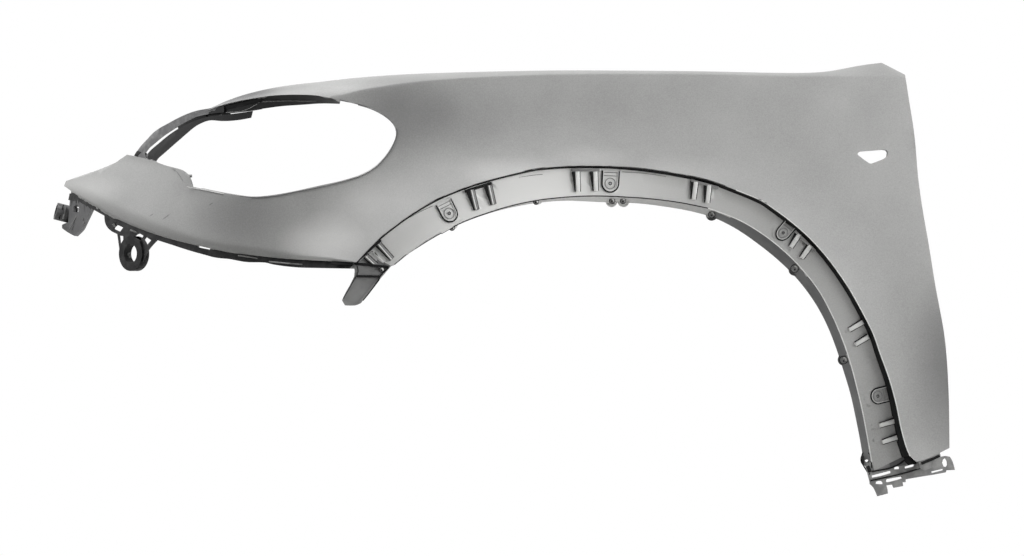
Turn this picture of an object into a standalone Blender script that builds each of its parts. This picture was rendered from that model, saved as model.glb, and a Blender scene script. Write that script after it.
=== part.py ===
"""Left front fender, moulded in one piece.

X runs to the rear, Z up, and the painted side faces -Y. The origin is the middle
of the flat bolting pad on the bonnet side, above the wheel arch.
Outlines are read from a side view in pixels of its 1024 x 556 frame, right and down.
"""

import math

import bmesh
import bpy
from mathutils import Matrix, Vector

# Driving sizes, in metres.
PANEL_LENGTH = 1.151
SIGHT_DISTANCE = 2.2
WALL = 0.0026
NOSE_SWEEP = 0.271
NOSE_CURVE_SHARE = 3.0
CROWN = 0.060
CROWN_EASE_SHARE = 0.9
ROLL = 0.002
TUCK = 0.009
NOSE_SHELF = 0.028
FLARE = 0.030
FLARE_WIDTH = 0.110
SHOULDER = 0.0035
LIP_CURL = 0.007
LIP_FLANGE = 0.015
TOP_WIDTH = 0.050
GUTTER_DEPTH = 0.014
GUTTER_LEAN = 0.003
HOOD_FLANGE = 0.026
BROW_DEPTH = 0.022
LAMP_FLANGE = 0.011
LAMP_LEAN_SHARE = 0.1
NOSE_FLANGE = 0.008
DOOR_FLANGE = 0.014
FOOT_FLANGE = 0.010
RELIEF = 0.009
ARCH_STEP = 0.007
ARCH_STEP_REAR = 0.020
BAND_FALL = 0.002
RETURN_DEPTH = 0.034
EDGE_ROUND = 0.0012
RIDGE_ROUND = 0.0035

# Mesh pitches, in metres.
GRID_PITCH = 0.030
BORDER = 0.0040
EDGE_PITCH = 0.018
FINE_PITCH = 0.012
LONG_PITCH = 0.031
TIP_PITCH = 0.016
SEAM = 0.00001

# Ribs, pads, slots and screw lugs of the wheel arch band.
RIB_RADIUS = 0.0048
RIB_RISE = 0.0036
RIB_SIDES = 8
RIB_END_SHARES = ((0.6, 0.0), (1.0, 0.7))
PAD_WIDTH = 0.022
PAD_RISE = 0.0012
DISC_RADIUS = 0.0074
DISC_RISE = 0.0022
DIMPLE_RADIUS = 0.0016
SLOT_LENGTH = 0.034
SLOT_HEIGHT = 0.0036
LUG_RADIUS = 0.0078
LUG_HOLE = 0.0028
LUG_WALL = 0.0026
LUG_SIDES = 14
HOLE_SIDES = 8

# Bolting pads of the bonnet flange.
BOLT_PAD_LENGTH = 0.046
BOLT_PAD_WIDTH = 0.022
BOLT_PAD_RISE = 0.002
BOLT_PAD_ROOT = 0.0045
BOLT_HOLE = 0.0036
BOLT_OFFSET = 0.014

# Brackets under the nose, at the arch front and below the door edge.
RAIL_SETBACK = 0.009
RAIL_WALL = 0.0028
RIBBON_WALL = 0.003
RIBBON_SETBACK = 0.0013
RING_RADIUS = 0.0245
RING_BORE = 0.0135
RING_WIDTH = 0.013
RING_TURN = math.radians(37)
BARREL_RADIUS = 0.0128
BARREL_BORE = 0.0095
BARREL_LENGTH = 0.030
BOX_DEPTH = 0.020
TAB_WALL = 0.003
TAB_STEP = 0.0016
TAB_RIB_DEPTH = 0.012
FOOT_WALL = 0.003
FOOT_STEP = 0.0016
MARKER_WALL = 0.0022
MARKER_DEPTH = 0.008
PEG_RADIUS = 0.0022
PEG_LENGTH = 0.007
OVERRUN = 0.004

# How finely round and draped pieces are divided.
DISC_SIDES = 16
DIMPLE_SIDES = 8
TONGUE_STEPS = 8
BOLT_SIDES = 14
RING_SIDES = 32
BORE_SIDES = 28
BARREL_SIDES = 24
PEG_SIDES = 10
DRAPE_PX = 12.0
RAIL_DRAPE_PX = 26.0
WEB_DRAPE_PX = 8.0
MERGE_PX = 1.0

# The side view's frame, in pixels.
NOSE_PX = 64.0
DOOR_PX = 949.5
EYE_PX = (512.0, 278.0)
PIXEL = PANEL_LENGTH / (DOOR_PX - NOSE_PX)
TURN_PX = 430.0
WIDEST_PX = 300.0
RIDGE_PX = 75.0
ROLL_PX = 100.0
SHELF_END_PX = 235.0
SHELF_FULL_PX = 110.0
SHELF_RISE_PX = 52.0
CROWN_SHARES = [(300, 0.62), (400, 0.70), (470, 0.90), (540, 1.0)]
WHEEL_PX = (580.0, 506.5)

CREASE_PX = [(64, 186), (78, 187), (99.5, 198), (133, 214), (166, 228), (199, 239), (232, 246),
             (253, 247.8), (278, 250.7), (311, 254), (334, 256), (356.4, 262.2)]
LIP_PX = [(64, 186), (71, 191), (86, 201), (99.5, 209), (116, 218.5), (133, 226), (151, 233),
          (174, 240), (199, 246), (232, 253), (260, 256), (280, 258.4), (326, 261), (356.4, 262.2)]
ARCH_PX = [(356.4, 262.2), (365, 252.7), (380, 238), (394.5, 226.3), (412, 213.8), (432.7, 201.3),
           (450.3, 193.3), (469.4, 186), (491.4, 179.3), (520.7, 172), (540, 168.2), (568, 166),
           (596, 165.7), (624, 166.8), (652, 169.6), (680, 174), (708, 180), (736, 190),
           (760, 199.8), (771, 206.8), (790, 220.8), (809, 237.4), (828.4, 259), (847.6, 286),
           (860, 307.6), (873, 333), (880, 353), (889.5, 379.4), (896.4, 404.6), (901, 427.6),
           (905.6, 444.8), (910, 456)]
FOOT_PX = [(910, 456), (914.8, 461.2), (919.4, 462), (930, 457.5), (939.5, 453), (949.5, 448)]
DOOR_PX_LINE = [(949.5, 448), (949, 399), (948, 376), (946, 347), (944, 330), (936, 290),
                (928, 239), (924, 218.6), (920, 193), (917, 167.6), (916, 148), (915, 135),
                (912, 118), (909, 100), (907, 86), (905.5, 77)]
RIDGE_PX_LINE = [(905.5, 77), (890, 76.5), (862, 76.2), (820, 76), (780, 75.7), (740, 74.6),
                 (700, 73.8), (660, 73.6), (620, 73.5), (560, 74), (500, 76), (440, 79.2),
                 (420, 81), (379, 86.8), (356, 90.3), (341, 93.3), (331, 98)]
LAMP_PX = [(331, 98), (339, 100.5), (348, 102.2), (364, 105.3), (376, 110), (387, 116.6),
           (394, 123.4), (397.4, 131), (394.5, 141), (387, 154), (376, 166), (361, 174.6),
           (341, 181), (318, 186), (296, 191), (272, 195.3), (252, 197), (232, 194.4),
           (215.5, 191.5), (199, 188), (192, 186.6)]
DOME_PX = [(192, 186.6), (190.6, 180.8), (187.4, 174.6), (182.6, 170.4), (176, 168)]
NOSE_TOP_PX = [(176, 168), (167, 166), (156, 162), (143, 158), (127, 154.6)]
BROW_NOSE_PX = [(127, 154.6), (121, 159.2), (114, 163.4), (106, 167), (93, 171.6), (80, 176), (66, 181)]
TIP_PX = [(66, 181), (64, 186)]

# Top surface in front of the ridge, from the ridge's end to the front tip.
UPPER_LIP_PX = [(331, 98), (318, 95.3), (295, 94.6), (272, 95.4), (256.5, 97.8), (241, 100.3),
                (226, 103.8), (216, 106.8), (208, 110.4)]
TOP_EDGE_PX = [(904.4, 74.4), (895, 68.7), (886, 64), (877, 62), (869, 62.7), (856.5, 65.5),
               (844, 68.7), (831, 71.6), (818, 73), (780, 73.2), (700, 71.6), (620, 70.8),
               (560, 70.5), (500, 71.4), (420, 73.5), (379, 75.8), (348, 78.4), (318, 82),
               (295, 84.5), (272, 88), (256.5, 91.4), (241, 95.5), (226, 101), (217, 104.8),
               (208, 109.6)]
TOP_WIDTH_SHARES = [(208, 0.10), (241, 0.34), (295, 0.70), (379, 1.0), (780, 1.0), (860, 0.80),
                    (885, 0.62), (905, 0.26)]
TOP_ROW_SHARES = [(0.10, 0.22), (0.32, 0.55), (0.64, 0.84), (1.0, 1.0)]
BROW_PX = [(208, 113), (226, 113.2), (250, 110.5), (264, 108.6), (284, 105.8), (302, 105),
           (318, 103.4), (333, 103.6), (341, 104)]
BROW_START_PX = 246.0
BROW_END_PX = 342.0
LAMP_MIDDLE_PX = 139.0
BROW_WEB_PX = [(206, 110.6), (203.5, 117.6), (214, 116.2), (226, 113.6), (250, 111), (262, 109),
               (262, 100), (241, 103), (226, 106.4), (214, 109.6)]
GUTTER_START_PX = 292.0

# The crease that fades in towards the door edge.
SHOULDER_PX = [(841, 143.3), (869, 142.4), (915, 140)]
SHOULDER_FADE_PX = (830.0, 62.0)
SHOULDER_REACH_PX = (42.0, 30.0)

# The arch band, outside in.
STEP_INSET_PX = [(133, 1.5), (110, 1.8), (90, 2.0), (60, 2.6), (40, 3.2), (25, 4.6), (8, 8.6)]
STEP_SHARES = [(133, 0.0), (70, 0.0), (35, 0.25), (8, 1.0)]
BAND_EDGE_PX = [(393, 266), (406, 255), (424, 243), (441.5, 233.6), (459, 224), (476.7, 216.7),
                (506, 207.2), (535.4, 200.6), (568, 197), (596, 196), (624, 197), (652, 199),
                (680, 202.6), (708, 208.2), (736.4, 218.8), (758, 231), (777, 245), (796.5, 263),
                (815.7, 286), (828.4, 307.6), (841, 335.6), (851, 365), (861, 404.6),
                (866.6, 433), (871.7, 462), (873.5, 471)]
RETURN_EDGE_PX = [(392, 267), (405, 255.6), (423, 243.4), (441, 233.8), (459, 224.4),
                  (477, 217.4), (506, 208.6), (540, 202.5), (568, 200.6), (596, 202),
                  (638, 203.3), (666, 206.8), (687, 210.3), (704, 214.5), (715, 218),
                  (736, 228.6), (758, 243.8), (777, 259), (796.5, 278), (815.7, 303.7),
                  (828.4, 328), (838.5, 355), (842.4, 367.5), (850.5, 394), (856, 419.5),
                  (861, 445), (863.6, 462), (867.7, 473.5)]
BAND_ANGLES = (127.9, 6.9)
RETURN_ANGLES = (127.9, 6.6)
ARCH_ANGLES = (132.5, 8.7)
FLARE_ENDS = 10.0
FLARE_SHARES = [(0, 0.2), (40, 0.32), (70, 0.58), (95, 0.76), (120, 0.98), (142, 1.0)]
FLARE_WIDTH_SHARES = [(0, 0.45), (40, 0.5), (70, 0.62), (95, 0.72), (120, 0.9), (142, 0.95)]

# Places along the band, as angles at the wheel centre, and shares across it.
RIB_ANGLES = (130.4, 127.3, 109.2, 106.1, 90.7, 87.6, 70.2, 67.7, 51.0, 48.4, 33.2, 30.7, 15.3, 12.5)
RIB_SHARES = (0.10, 0.78)
SLOT_ANGLES = (107.7, 89.1, 68.9, 49.7, 31.9, 13.9)
PAD_ANGLES = (114.1, 84.4, 53.4, 20.4)
PAD_SHARES = (0.10, 0.56)
LUG_ANGLES = (114.4, 97.9, 84.1, 81.9, 65.7, 47.8, 29.1, 9.2)
LUG_OUT_SHARES = (0.55, 0.65, 0.16, 0.2, 0.27, 0.65, 0.57, 0.51)

# Bolting pads along the bonnet flange.
BOLT_PADS_PX = (380.0, 560.0, 720.0, 850.0)
ORIGIN_PAD_PX = 560.0

# Brackets, as outlines in the side view.
RAIL_PX = [(357, 268.6), (353, 268.7), (300, 267.7), (286, 266.5), (269.5, 264),
           (267, 262.3), (244.6, 262.3), (230, 259), (215.6, 258), (209, 256), (187, 250),
           (175, 245.8), (156.5, 240), (133, 231.5), (104, 215.6), (83, 203.8), (71.5, 200)]
RAIL_SEAM_PX = (71, 84, 99.5, 116, 133, 152, 174, 199, 232, 260, 290, 326, 357)
RAIL_SLIT_PX = [(198.4, 245.6), (209.6, 248), (209.4, 249.6), (198.6, 247.4)]
BLOCK_PX = [(68.3, 200), (69.5, 193.5), (74, 193), (74, 201)]
WEB_PX = [(104.2, 211), (104.4, 219), (104.9, 223.4), (107.8, 228.5), (112, 231.6),
          (117.4, 234.2), (118.4, 243), (119.8, 252), (127, 262), (143, 262), (147.6, 251.6),
          (153, 244.6), (157, 240.8), (157, 232), (133, 222)]
WEB_WINDOWS_PX = [
    [(113.2, 228.6), (117, 224.9), (122.6, 227.4), (119.5, 231.6)],
    [(133.8, 236.8), (138.4, 233), (143, 235.6), (139.9, 240.6)],
    [(144.2, 239.6), (146, 237.1), (150.6, 240.2), (146.4, 245)],
    [(119.3, 235.6), (122.6, 236), (122.8, 249), (120.6, 248)]]
RING_PX = (134.0, 253.6)
BOX_PX = [(70, 198), (84, 200), (92, 207), (89.6, 212), (82.8, 226), (81.5, 229.4), (74.5, 236),
          (67.8, 232.7), (62, 228.1), (62, 224.8), (68, 222)]
BOX_WINDOW_PX = [(73.2, 206), (78.4, 207), (77.6, 212.4), (73, 211.6)]
BARREL_PX = (66.0, 213.6)
BARREL_DIRECTION = (-0.90, -0.36, 0.24)
OUTER_RIBBON_PX = [(142, 163), (137, 151.4), (146.6, 140), (155, 131), (167, 124), (180, 117),
                   (192, 112), (200.5, 109.8), (212, 108), (224, 106)]
OUTER_RIBBON_INNER_PX = [(224, 112.4), (209, 114), (196, 117), (184, 123), (171.5, 130.6),
                         (163, 136.4), (155, 143), (145, 153.4), (149, 165)]
INNER_RIBBON_PX = [(154, 168), (145, 157), (158, 144), (167, 136.4), (176, 130), (190, 122.5),
                   (204, 117.5), (217, 115.5), (234, 113.6), (252.7, 111)]
INNER_RIBBON_INNER_PX = [(251, 117.6), (238, 120), (221, 121), (211, 120), (204.6, 121.5),
                         (196, 125.6), (188, 132), (180, 139), (171.5, 146.4), (163, 154),
                         (156, 161), (164, 170)]
TAB_PX = [(353.5, 262), (372, 258.5), (384, 262), (391, 265.6), (384, 273.7), (377, 282),
          (360, 303.5), (355.7, 306), (345, 305.4), (342, 300.4), (344, 295), (355.4, 276)]
TAB_UPPER_PX = [(353.5, 262), (372, 258.5), (384, 262), (391, 265.6), (384, 273.7), (380.6, 277.2),
                (355.4, 276.4)]
TAB_RIB_PX = [(391, 265.6), (384, 273.7), (377, 282), (360, 303.5), (358.2, 302.6), (375.2, 281),
              (382.2, 272.6), (388, 265)]
TAB_HOLE_PX = (382.4, 269.6)
TAB_HOLE_RADIUS = 0.002
FOOT_SHELF_PX = [(866, 466), (891, 462.5), (903, 460), (914, 460), (922, 461.4), (921.2, 467.8),
            (902.9, 473.5), (883.2, 478.9), (869.8, 481.7), (867.6, 473.6)]
FOOT_PLATE_PX = [(869.8, 480.4), (883.2, 477.6), (902.9, 472.3), (920.5, 467.8), (924.7, 469),
                 (931, 466), (933.2, 460.4), (940.9, 456.9), (945.8, 455.8), (950, 456.9),
                 (952.9, 461.1), (955, 469.9), (946.5, 470.3), (945.8, 472.4), (932.5, 475),
                 (925.4, 475.9), (905.7, 479.4), (905.7, 482.3), (902.6, 482.3), (903.2, 486.1),
                 (893.7, 487.9), (892.3, 484.6), (886.4, 485.4), (887.7, 489.3), (888, 493.5),
                 (877.5, 496.3), (874, 487.2), (870, 484.4)]
FOOT_WALL_PX = [(918, 456), (938, 447), (940.2, 453.6), (940.8, 457), (933, 461), (932, 467.6),
                (924.8, 470.6), (920, 468)]
FOOT_WINDOWS_PX = [
    [(872.4, 475.9), (891.3, 471), (891.6, 473.6), (881.8, 476.8), (872.8, 478.2)],
    [(894.8, 466.6), (900, 467.2), (900, 469.6), (895.1, 470)],
    [(905.4, 467.1), (915.6, 463.9), (914.2, 467.2), (905.7, 469.2)],
    [(886.4, 479.8), (902.9, 477.0), (902.9, 479.3), (889.4, 483.2), (887.4, 482.8)],
    [(932.4, 472), (944.2, 469.2), (944.2, 471), (932.8, 473.9)],
    [(876.5, 484.6), (877, 482.3), (879.4, 481.2), (882.4, 481.6), (884, 484), (883.4, 485)],
    [(943.2, 463.4), (944, 460), (945.8, 458.6), (947.6, 460.2), (948.6, 463), (948.4, 466.2),
     (947, 467.8), (944.6, 466.8)]]
MARKER_PX = [(859.3, 152.1), (861.6, 150.9), (884.6, 149.1), (887.6, 149.9), (888.9, 152),
             (888.4, 156), (886.2, 158.2), (871.8, 163.6), (869.4, 163.2), (858.6, 154.8),
             (858.2, 153.4)]
PEG_PX = (188.0, 176.2)
PEG_DIRECTION = (1.0, 0.0, 0.1)


def clear_scene():
    for old in list(bpy.data.objects):
        bpy.data.objects.remove(old, do_unlink=True)


def new_collection(name):
    collection = bpy.data.collections.new(name)
    bpy.context.scene.collection.children.link(collection)
    return collection


def clamp(value):
    return max(0.0, min(1.0, value))


def ease(value):
    value = clamp(value)
    return value * value * (3 - 2 * value)


def from_shares(shares, at):
    """Straight interpolation in a table of (place, share)."""
    table = sorted(shares)
    if at <= table[0][0]:
        return table[0][1]
    for (low, first), (high, second) in zip(table, table[1:]):
        if at <= high:
            return first + (second - first) * (at - low) / (high - low)
    return table[-1][1]


def curve_through(points, steps=8):
    """A smooth line through the points: centripetal Catmull-Rom."""
    points = [Vector(point) for point in points]
    points = [2 * points[0] - points[1], *points, 2 * points[-1] - points[-2]]
    line = []
    for a, b, c, d in zip(points, points[1:], points[2:], points[3:]):
        knots = [0.0]
        for near, far in ((a, b), (b, c), (c, d)):
            knots.append(knots[-1] + (far - near).length ** 0.5)
        for step in range(steps):
            t = knots[1] + (knots[2] - knots[1]) * step / steps
            ab = a.lerp(b, (t - knots[0]) / (knots[1] - knots[0]))
            bc = b.lerp(c, (t - knots[1]) / (knots[2] - knots[1]))
            cd = c.lerp(d, (t - knots[2]) / (knots[3] - knots[2]))
            abc = ab.lerp(bc, (t - knots[0]) / (knots[2] - knots[0]))
            bcd = bc.lerp(cd, (t - knots[1]) / (knots[3] - knots[1]))
            line.append(abc.lerp(bcd, (t - knots[1]) / (knots[2] - knots[1])))
    line.append(points[-2])
    return line


def evenly(line, pitch):
    """Points on the line, about one pitch in metres apart, ends included."""
    lengths = [0.0]
    for near, far in zip(line, line[1:]):
        lengths.append(lengths[-1] + (far - near).length)
    count = max(1, round(lengths[-1] * PIXEL / pitch))
    spaced = []
    piece = 0
    for index in range(count + 1):
        goal = lengths[-1] * index / count
        while piece < len(line) - 2 and lengths[piece + 1] < goal:
            piece += 1
        span = lengths[piece + 1] - lengths[piece]
        spaced.append(line[piece].lerp(line[piece + 1], clamp((goal - lengths[piece]) / span)))
    return spaced


def height_at(line, u):
    """The v of a line that runs across the view, at a given u."""
    ordered = sorted(line, key=lambda point: point[0])
    return from_shares([(point[0], point[1]) for point in ordered], u)


def radius_at(line, angle):
    """Distance from the wheel centre to the line, in pixels, at an angle in degrees."""
    polar = []
    for point in line:
        across = point[0] - WHEEL_PX[0]
        up = WHEEL_PX[1] - point[1]
        polar.append((math.degrees(math.atan2(up, across)), math.hypot(across, up)))
    return from_shares(polar, angle)


def at_angle(radius, angle):
    turn = math.radians(angle)
    return WHEEL_PX[0] + radius * math.cos(turn), WHEEL_PX[1] - radius * math.sin(turn)


ARCH_LINE = curve_through(ARCH_PX)
BAND_LINE = curve_through(BAND_EDGE_PX)
RETURN_LINE = curve_through(RETURN_EDGE_PX)


def sweep(u):
    """How far the plan curve of the nose takes the side inboard."""
    return NOSE_SWEEP * clamp((TURN_PX - u) / (TURN_PX - NOSE_PX)) ** NOSE_CURVE_SHARE


def crown(u, v):
    """The lean above the widest line, steady further up, and the soft tuck below it."""
    over = max(0.0, (WIDEST_PX - v) / (WIDEST_PX - RIDGE_PX))
    lean = over ** 2 * (1 + CROWN_EASE_SHARE) / (over + CROWN_EASE_SHARE)
    under = clamp((v - WIDEST_PX) / (DOOR_PX_LINE[0][1] - WIDEST_PX))
    roll = max(0.0, (ROLL_PX - v) / (ROLL_PX - RIDGE_PX))
    return CROWN * lean * from_shares(CROWN_SHARES, u) + TUCK * ease(under) + ROLL * roll ** 2


def nose_shelf(u, v):
    """Under the lamp the side turns up to meet the bonnet, more so the higher it gets."""
    fade = ease((SHELF_END_PX - u) / (SHELF_END_PX - SHELF_FULL_PX))
    rise = max(0.0, min(SHELF_RISE_PX, height_at(CREASE_PX, u) - v)) / SHELF_RISE_PX
    return NOSE_SHELF * fade * (rise + rise ** 2) / 2


def flare(u, v):
    """The outward lift of the skin along the wheel arch."""
    angle = math.degrees(math.atan2(WHEEL_PX[1] - v, u - WHEEL_PX[0]))
    if not ARCH_ANGLES[1] - FLARE_ENDS < angle < ARCH_ANGLES[0] + FLARE_ENDS:
        return 0.0
    from_edge = math.hypot(u - WHEEL_PX[0], WHEEL_PX[1] - v) - radius_at(ARCH_LINE, angle)
    width = FLARE_WIDTH * from_shares(FLARE_WIDTH_SHARES, angle)
    lift = FLARE * from_shares(FLARE_SHARES, angle)
    return -lift * clamp(1 - max(0.0, from_edge) * PIXEL / width) ** 2


def shoulder(u, v):
    """The crease that runs to the door edge: a shallow notch, sharp along its line."""
    over = height_at(SHOULDER_PX, u) - v
    reach = SHOULDER_REACH_PX[0] if over > 0 else SHOULDER_REACH_PX[1]
    fade = ease((u - SHOULDER_FADE_PX[0]) / SHOULDER_FADE_PX[1])
    return SHOULDER * fade * clamp(1 - abs(over) / reach) ** 2


def skin_depth(u, v):
    return sweep(u) + crown(u, v) + nose_shelf(u, v) + flare(u, v) + shoulder(u, v)


def raw_place(u, v, depth):
    """A point of the side view, taken out along the line of sight to its depth."""
    grow = PIXEL * (SIGHT_DISTANCE + depth) / SIGHT_DISTANCE
    return Vector(((u - EYE_PX[0]) * grow, depth, (EYE_PX[1] - v) * grow))


RIDGE_LINE = curve_through(RIDGE_PX_LINE)
UPPER_LIP_LINE = curve_through(UPPER_LIP_PX)
TOP_EDGE_LINE = curve_through(TOP_EDGE_PX)


def top_edge(u):
    """Where the top surface ends on the bonnet side."""
    foot = height_at(RIDGE_LINE if u > RIDGE_LINE[-1][0] else UPPER_LIP_LINE, u)
    depth = skin_depth(u, foot) + TOP_WIDTH * from_shares(TOP_WIDTH_SHARES, u)
    return raw_place(u, height_at(TOP_EDGE_LINE, u), depth)


def hood_flange_point(u, across):
    """On the bonnet flange: across runs inboard from the gutter wall."""
    return top_edge(u) + Vector((0, GUTTER_LEAN + across, -GUTTER_DEPTH))


ORIGIN = hood_flange_point(ORIGIN_PAD_PX, HOOD_FLANGE / 2) + Vector((0, 0, BOLT_PAD_RISE))


def place(u, v, depth):
    return raw_place(u, v, depth) - ORIGIN


def on_skin(u, v, inboard=0.0):
    return place(u, v, skin_depth(u, v) + inboard)


def arch_rows(share):
    """Four points across the arch: skin edge, foot of the step, band edge, return edge."""
    edge_angle = ARCH_ANGLES[0] + (ARCH_ANGLES[1] - ARCH_ANGLES[0]) * share
    band_angle = BAND_ANGLES[0] + (BAND_ANGLES[1] - BAND_ANGLES[0]) * share
    return_angle = RETURN_ANGLES[0] + (RETURN_ANGLES[1] - RETURN_ANGLES[0]) * share
    edge_radius = radius_at(ARCH_LINE, edge_angle)
    edge = at_angle(edge_radius, edge_angle)
    inset = from_shares(STEP_INSET_PX, edge_angle)
    foot = at_angle(edge_radius - inset, edge_angle)
    band = at_angle(radius_at(BAND_LINE, band_angle), band_angle)
    back = at_angle(radius_at(RETURN_LINE, return_angle), return_angle)
    step = ARCH_STEP + (ARCH_STEP_REAR - ARCH_STEP) * from_shares(STEP_SHARES, edge_angle)
    depth = skin_depth(*edge)
    return [place(*edge, depth), place(*foot, depth + step),
            place(*band, depth + step + BAND_FALL), place(*back, depth + step + RETURN_DEPTH)]


def share_of_angle(angle):
    return (ARCH_ANGLES[0] - angle) / (ARCH_ANGLES[0] - ARCH_ANGLES[1])


def band_point(angle, across):
    """A point on the line that runs straight in from the step to the band's edge."""
    foot = arch_rows(share_of_angle(angle))[1]
    edge = arch_rows(clamp((BAND_ANGLES[0] - angle) / (BAND_ANGLES[0] - BAND_ANGLES[1])))[2]
    return foot.lerp(edge, across)


def band_frame(angle, across):
    """X runs rearward along the band, Y out to the step, Z out of the band's face."""
    here = band_point(angle, across)
    along = (band_point(angle - 1, across) - band_point(angle + 1, across)).normalized()
    up = band_point(angle, 0) - band_point(angle, 1)
    out = along.cross(up).normalized()
    up = out.cross(along)
    turn = Matrix((along, up, out)).transposed().to_4x4()
    return Matrix.Translation(here) @ turn


def link(name, bm, collection):
    mesh = bpy.data.meshes.new(name)
    bm.to_mesh(mesh)
    bm.free()
    made = bpy.data.objects.new(name, mesh)
    collection.objects.link(made)
    return made


def hide_tool(made):
    made.hide_render = True
    made.display_type = "WIRE"
    return made


def panel_chains():
    """The skin's boundary, run by run, all the way round."""
    return {
        "crease": evenly(curve_through(CREASE_PX), EDGE_PITCH),
        "arch": evenly(ARCH_LINE, EDGE_PITCH),
        "foot": evenly(curve_through(FOOT_PX), FINE_PITCH),
        "door": evenly(curve_through(DOOR_PX_LINE), LONG_PITCH),
        "ridge": evenly(RIDGE_LINE, LONG_PITCH),
        "lamp": evenly(curve_through(LAMP_PX), FINE_PITCH),
        "dome": evenly(curve_through(DOME_PX), FINE_PITCH / 2),
        "nose_top": evenly(curve_through(NOSE_TOP_PX), FINE_PITCH),
        "brow": evenly(curve_through(BROW_NOSE_PX), EDGE_PITCH),
        "tip": [Vector(point) for point in TIP_PX]}


def cut_grid(bm, faces, pitch, across=True):
    """Score the faces with upright lines, and level ones if asked, one pitch apart."""
    spots = [vert.co.copy() for face in faces for vert in face.verts]
    axes = (0, 1) if across else (0,)
    kept = {face for face in bm.faces if face not in faces}
    for axis in axes:
        low = min(spot[axis] for spot in spots)
        high = max(spot[axis] for spot in spots)
        normal = Vector((axis == 0, axis == 1, 0))
        count = max(1, round((high - low) / pitch))
        for index in range(1, count):
            inner = [face for face in bm.faces if face not in kept]
            edges = list({edge for face in inner for edge in face.edges})
            verts = list({vert for face in inner for vert in face.verts})
            spot = normal * (low + (high - low) * index / count)
            bmesh.ops.bisect_plane(bm, geom=verts + edges + inner, plane_co=spot, plane_no=normal)


def add_strip(bm, row, rows, weights, weight_layer):
    """Faces from a row of vertices outward over rows of points."""
    near = row
    for points in rows:
        far = [bm.verts.new(point) for point in points]
        for index in range(len(near) - 1):
            bm.faces.new((near[index + 1], near[index], far[index], far[index + 1]))
        near = far
    for index in range(len(row) - 1):
        bm.edges.get((row[index], row[index + 1]))[weight_layer] = weights
    return near


def trimmed(row, length):
    """The row without its first and last stretch, so that neighbouring flanges stay apart."""
    start = 1
    while (row[start].co - row[0].co).length < length:
        start += 1
    end = len(row) - 2
    while (row[end].co - row[-1].co).length < length:
        end -= 1
    return row[start:end + 1]


def build_skin(bm):
    """The side of the fender, laid out flat, scored with a grid and pushed to its depth."""
    chains = panel_chains()
    loop = []
    spans = {}
    for name, points in chains.items():
        spans[name] = (len(loop), len(points))
        loop.extend(points[:-1])
    corners = [bm.verts.new((point[0], -point[1], 0)) for point in loop]
    sheet = bm.faces.new(corners)
    sheet.normal_update()
    keys = [tuple(round(value, 2) for value in vert.co) for vert in corners]
    bmesh.ops.inset_region(bm, faces=[sheet], use_boundary=True, use_even_offset=True,
                           thickness=BORDER / PIXEL)
    inner = max(bm.faces, key=lambda face: len(face.verts))
    cut_grid(bm, {inner}, GRID_PITCH / PIXEL)
    found = {tuple(round(value, 2) for value in vert.co): vert for vert in bm.verts}
    border = [found[key] for key in keys]
    outer = set(border)
    loose = [vert for vert in bm.verts if vert not in outer]
    bmesh.ops.remove_doubles(bm, verts=loose, dist=MERGE_PX)
    for vert in bm.verts:
        vert.co = on_skin(vert.co.x, -vert.co.y)
    rows = {}
    for name, (start, count) in spans.items():
        rows[name] = [border[(start + step) % len(border)] for step in range(count)]
    return chains, rows


def curl_lip(bm, chains, rows, layer):
    """Below the crease the skin curls under to the bumper joint, then runs inboard."""
    lip = curve_through(LIP_PX)
    crease = rows["crease"]
    ends = (crease[0].co.copy(), crease[-1].co.copy())
    edge = []
    middle = []
    for index, point in enumerate(chains["crease"]):
        share = clamp(math.sin(math.pi * index / (len(crease) - 1))) ** 0.5
        v = height_at(lip, point[0])
        depth = skin_depth(point[0], v)
        edge.append(place(point[0], v, depth + LIP_CURL * share))
        middle.append(place(point[0], (point[1] + v) / 2, depth + LIP_CURL * share / 3))
    edge[0], edge[-1] = ends
    middle[0], middle[-1] = ends
    inboard = [point + Vector((0, LIP_FLANGE, 0)) for point in edge]
    lower = add_strip(bm, crease, [middle, edge], 0.0, layer)
    lower = trimmed(lower, RELIEF)
    first = min(range(len(edge)), key=lambda index: (edge[index] - lower[0].co).length)
    add_strip(bm, lower, [inboard[first:first + len(lower)]], 0.0, layer)


def fold_arch(bm, chains, rows, layer):
    """Step wall, clip band and return flange of the wheel arch."""
    across = []
    for point in chains["arch"]:
        angle = math.degrees(math.atan2(WHEEL_PX[1] - point[1], point[0] - WHEEL_PX[0]))
        across.append(arch_rows(share_of_angle(angle)))
    row = rows["arch"]
    foot = add_strip(bm, row, [[points[1] for points in across]], EDGE_ROUND / RIDGE_ROUND, layer)
    band = add_strip(bm, foot, [[points[2] for points in across]], 0.0, layer)
    add_strip(bm, band, [[points[3] for points in across]], EDGE_ROUND / RIDGE_ROUND, layer)


def fold_inboard(bm, row, depth, lean, layer):
    """A plain flange that runs inboard from an edge, leaning away from the skin by a share."""
    points = []
    for index, vert in enumerate(row):
        ahead = row[min(index + 1, len(row) - 1)].co - row[max(index - 1, 0)].co
        away = ahead.cross(Vector((0, 1, 0))).normalized()
        points.append(vert.co + Vector((0, depth, 0)) - away * depth * lean)
    return add_strip(bm, row, [points], 0.0, layer)


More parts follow.
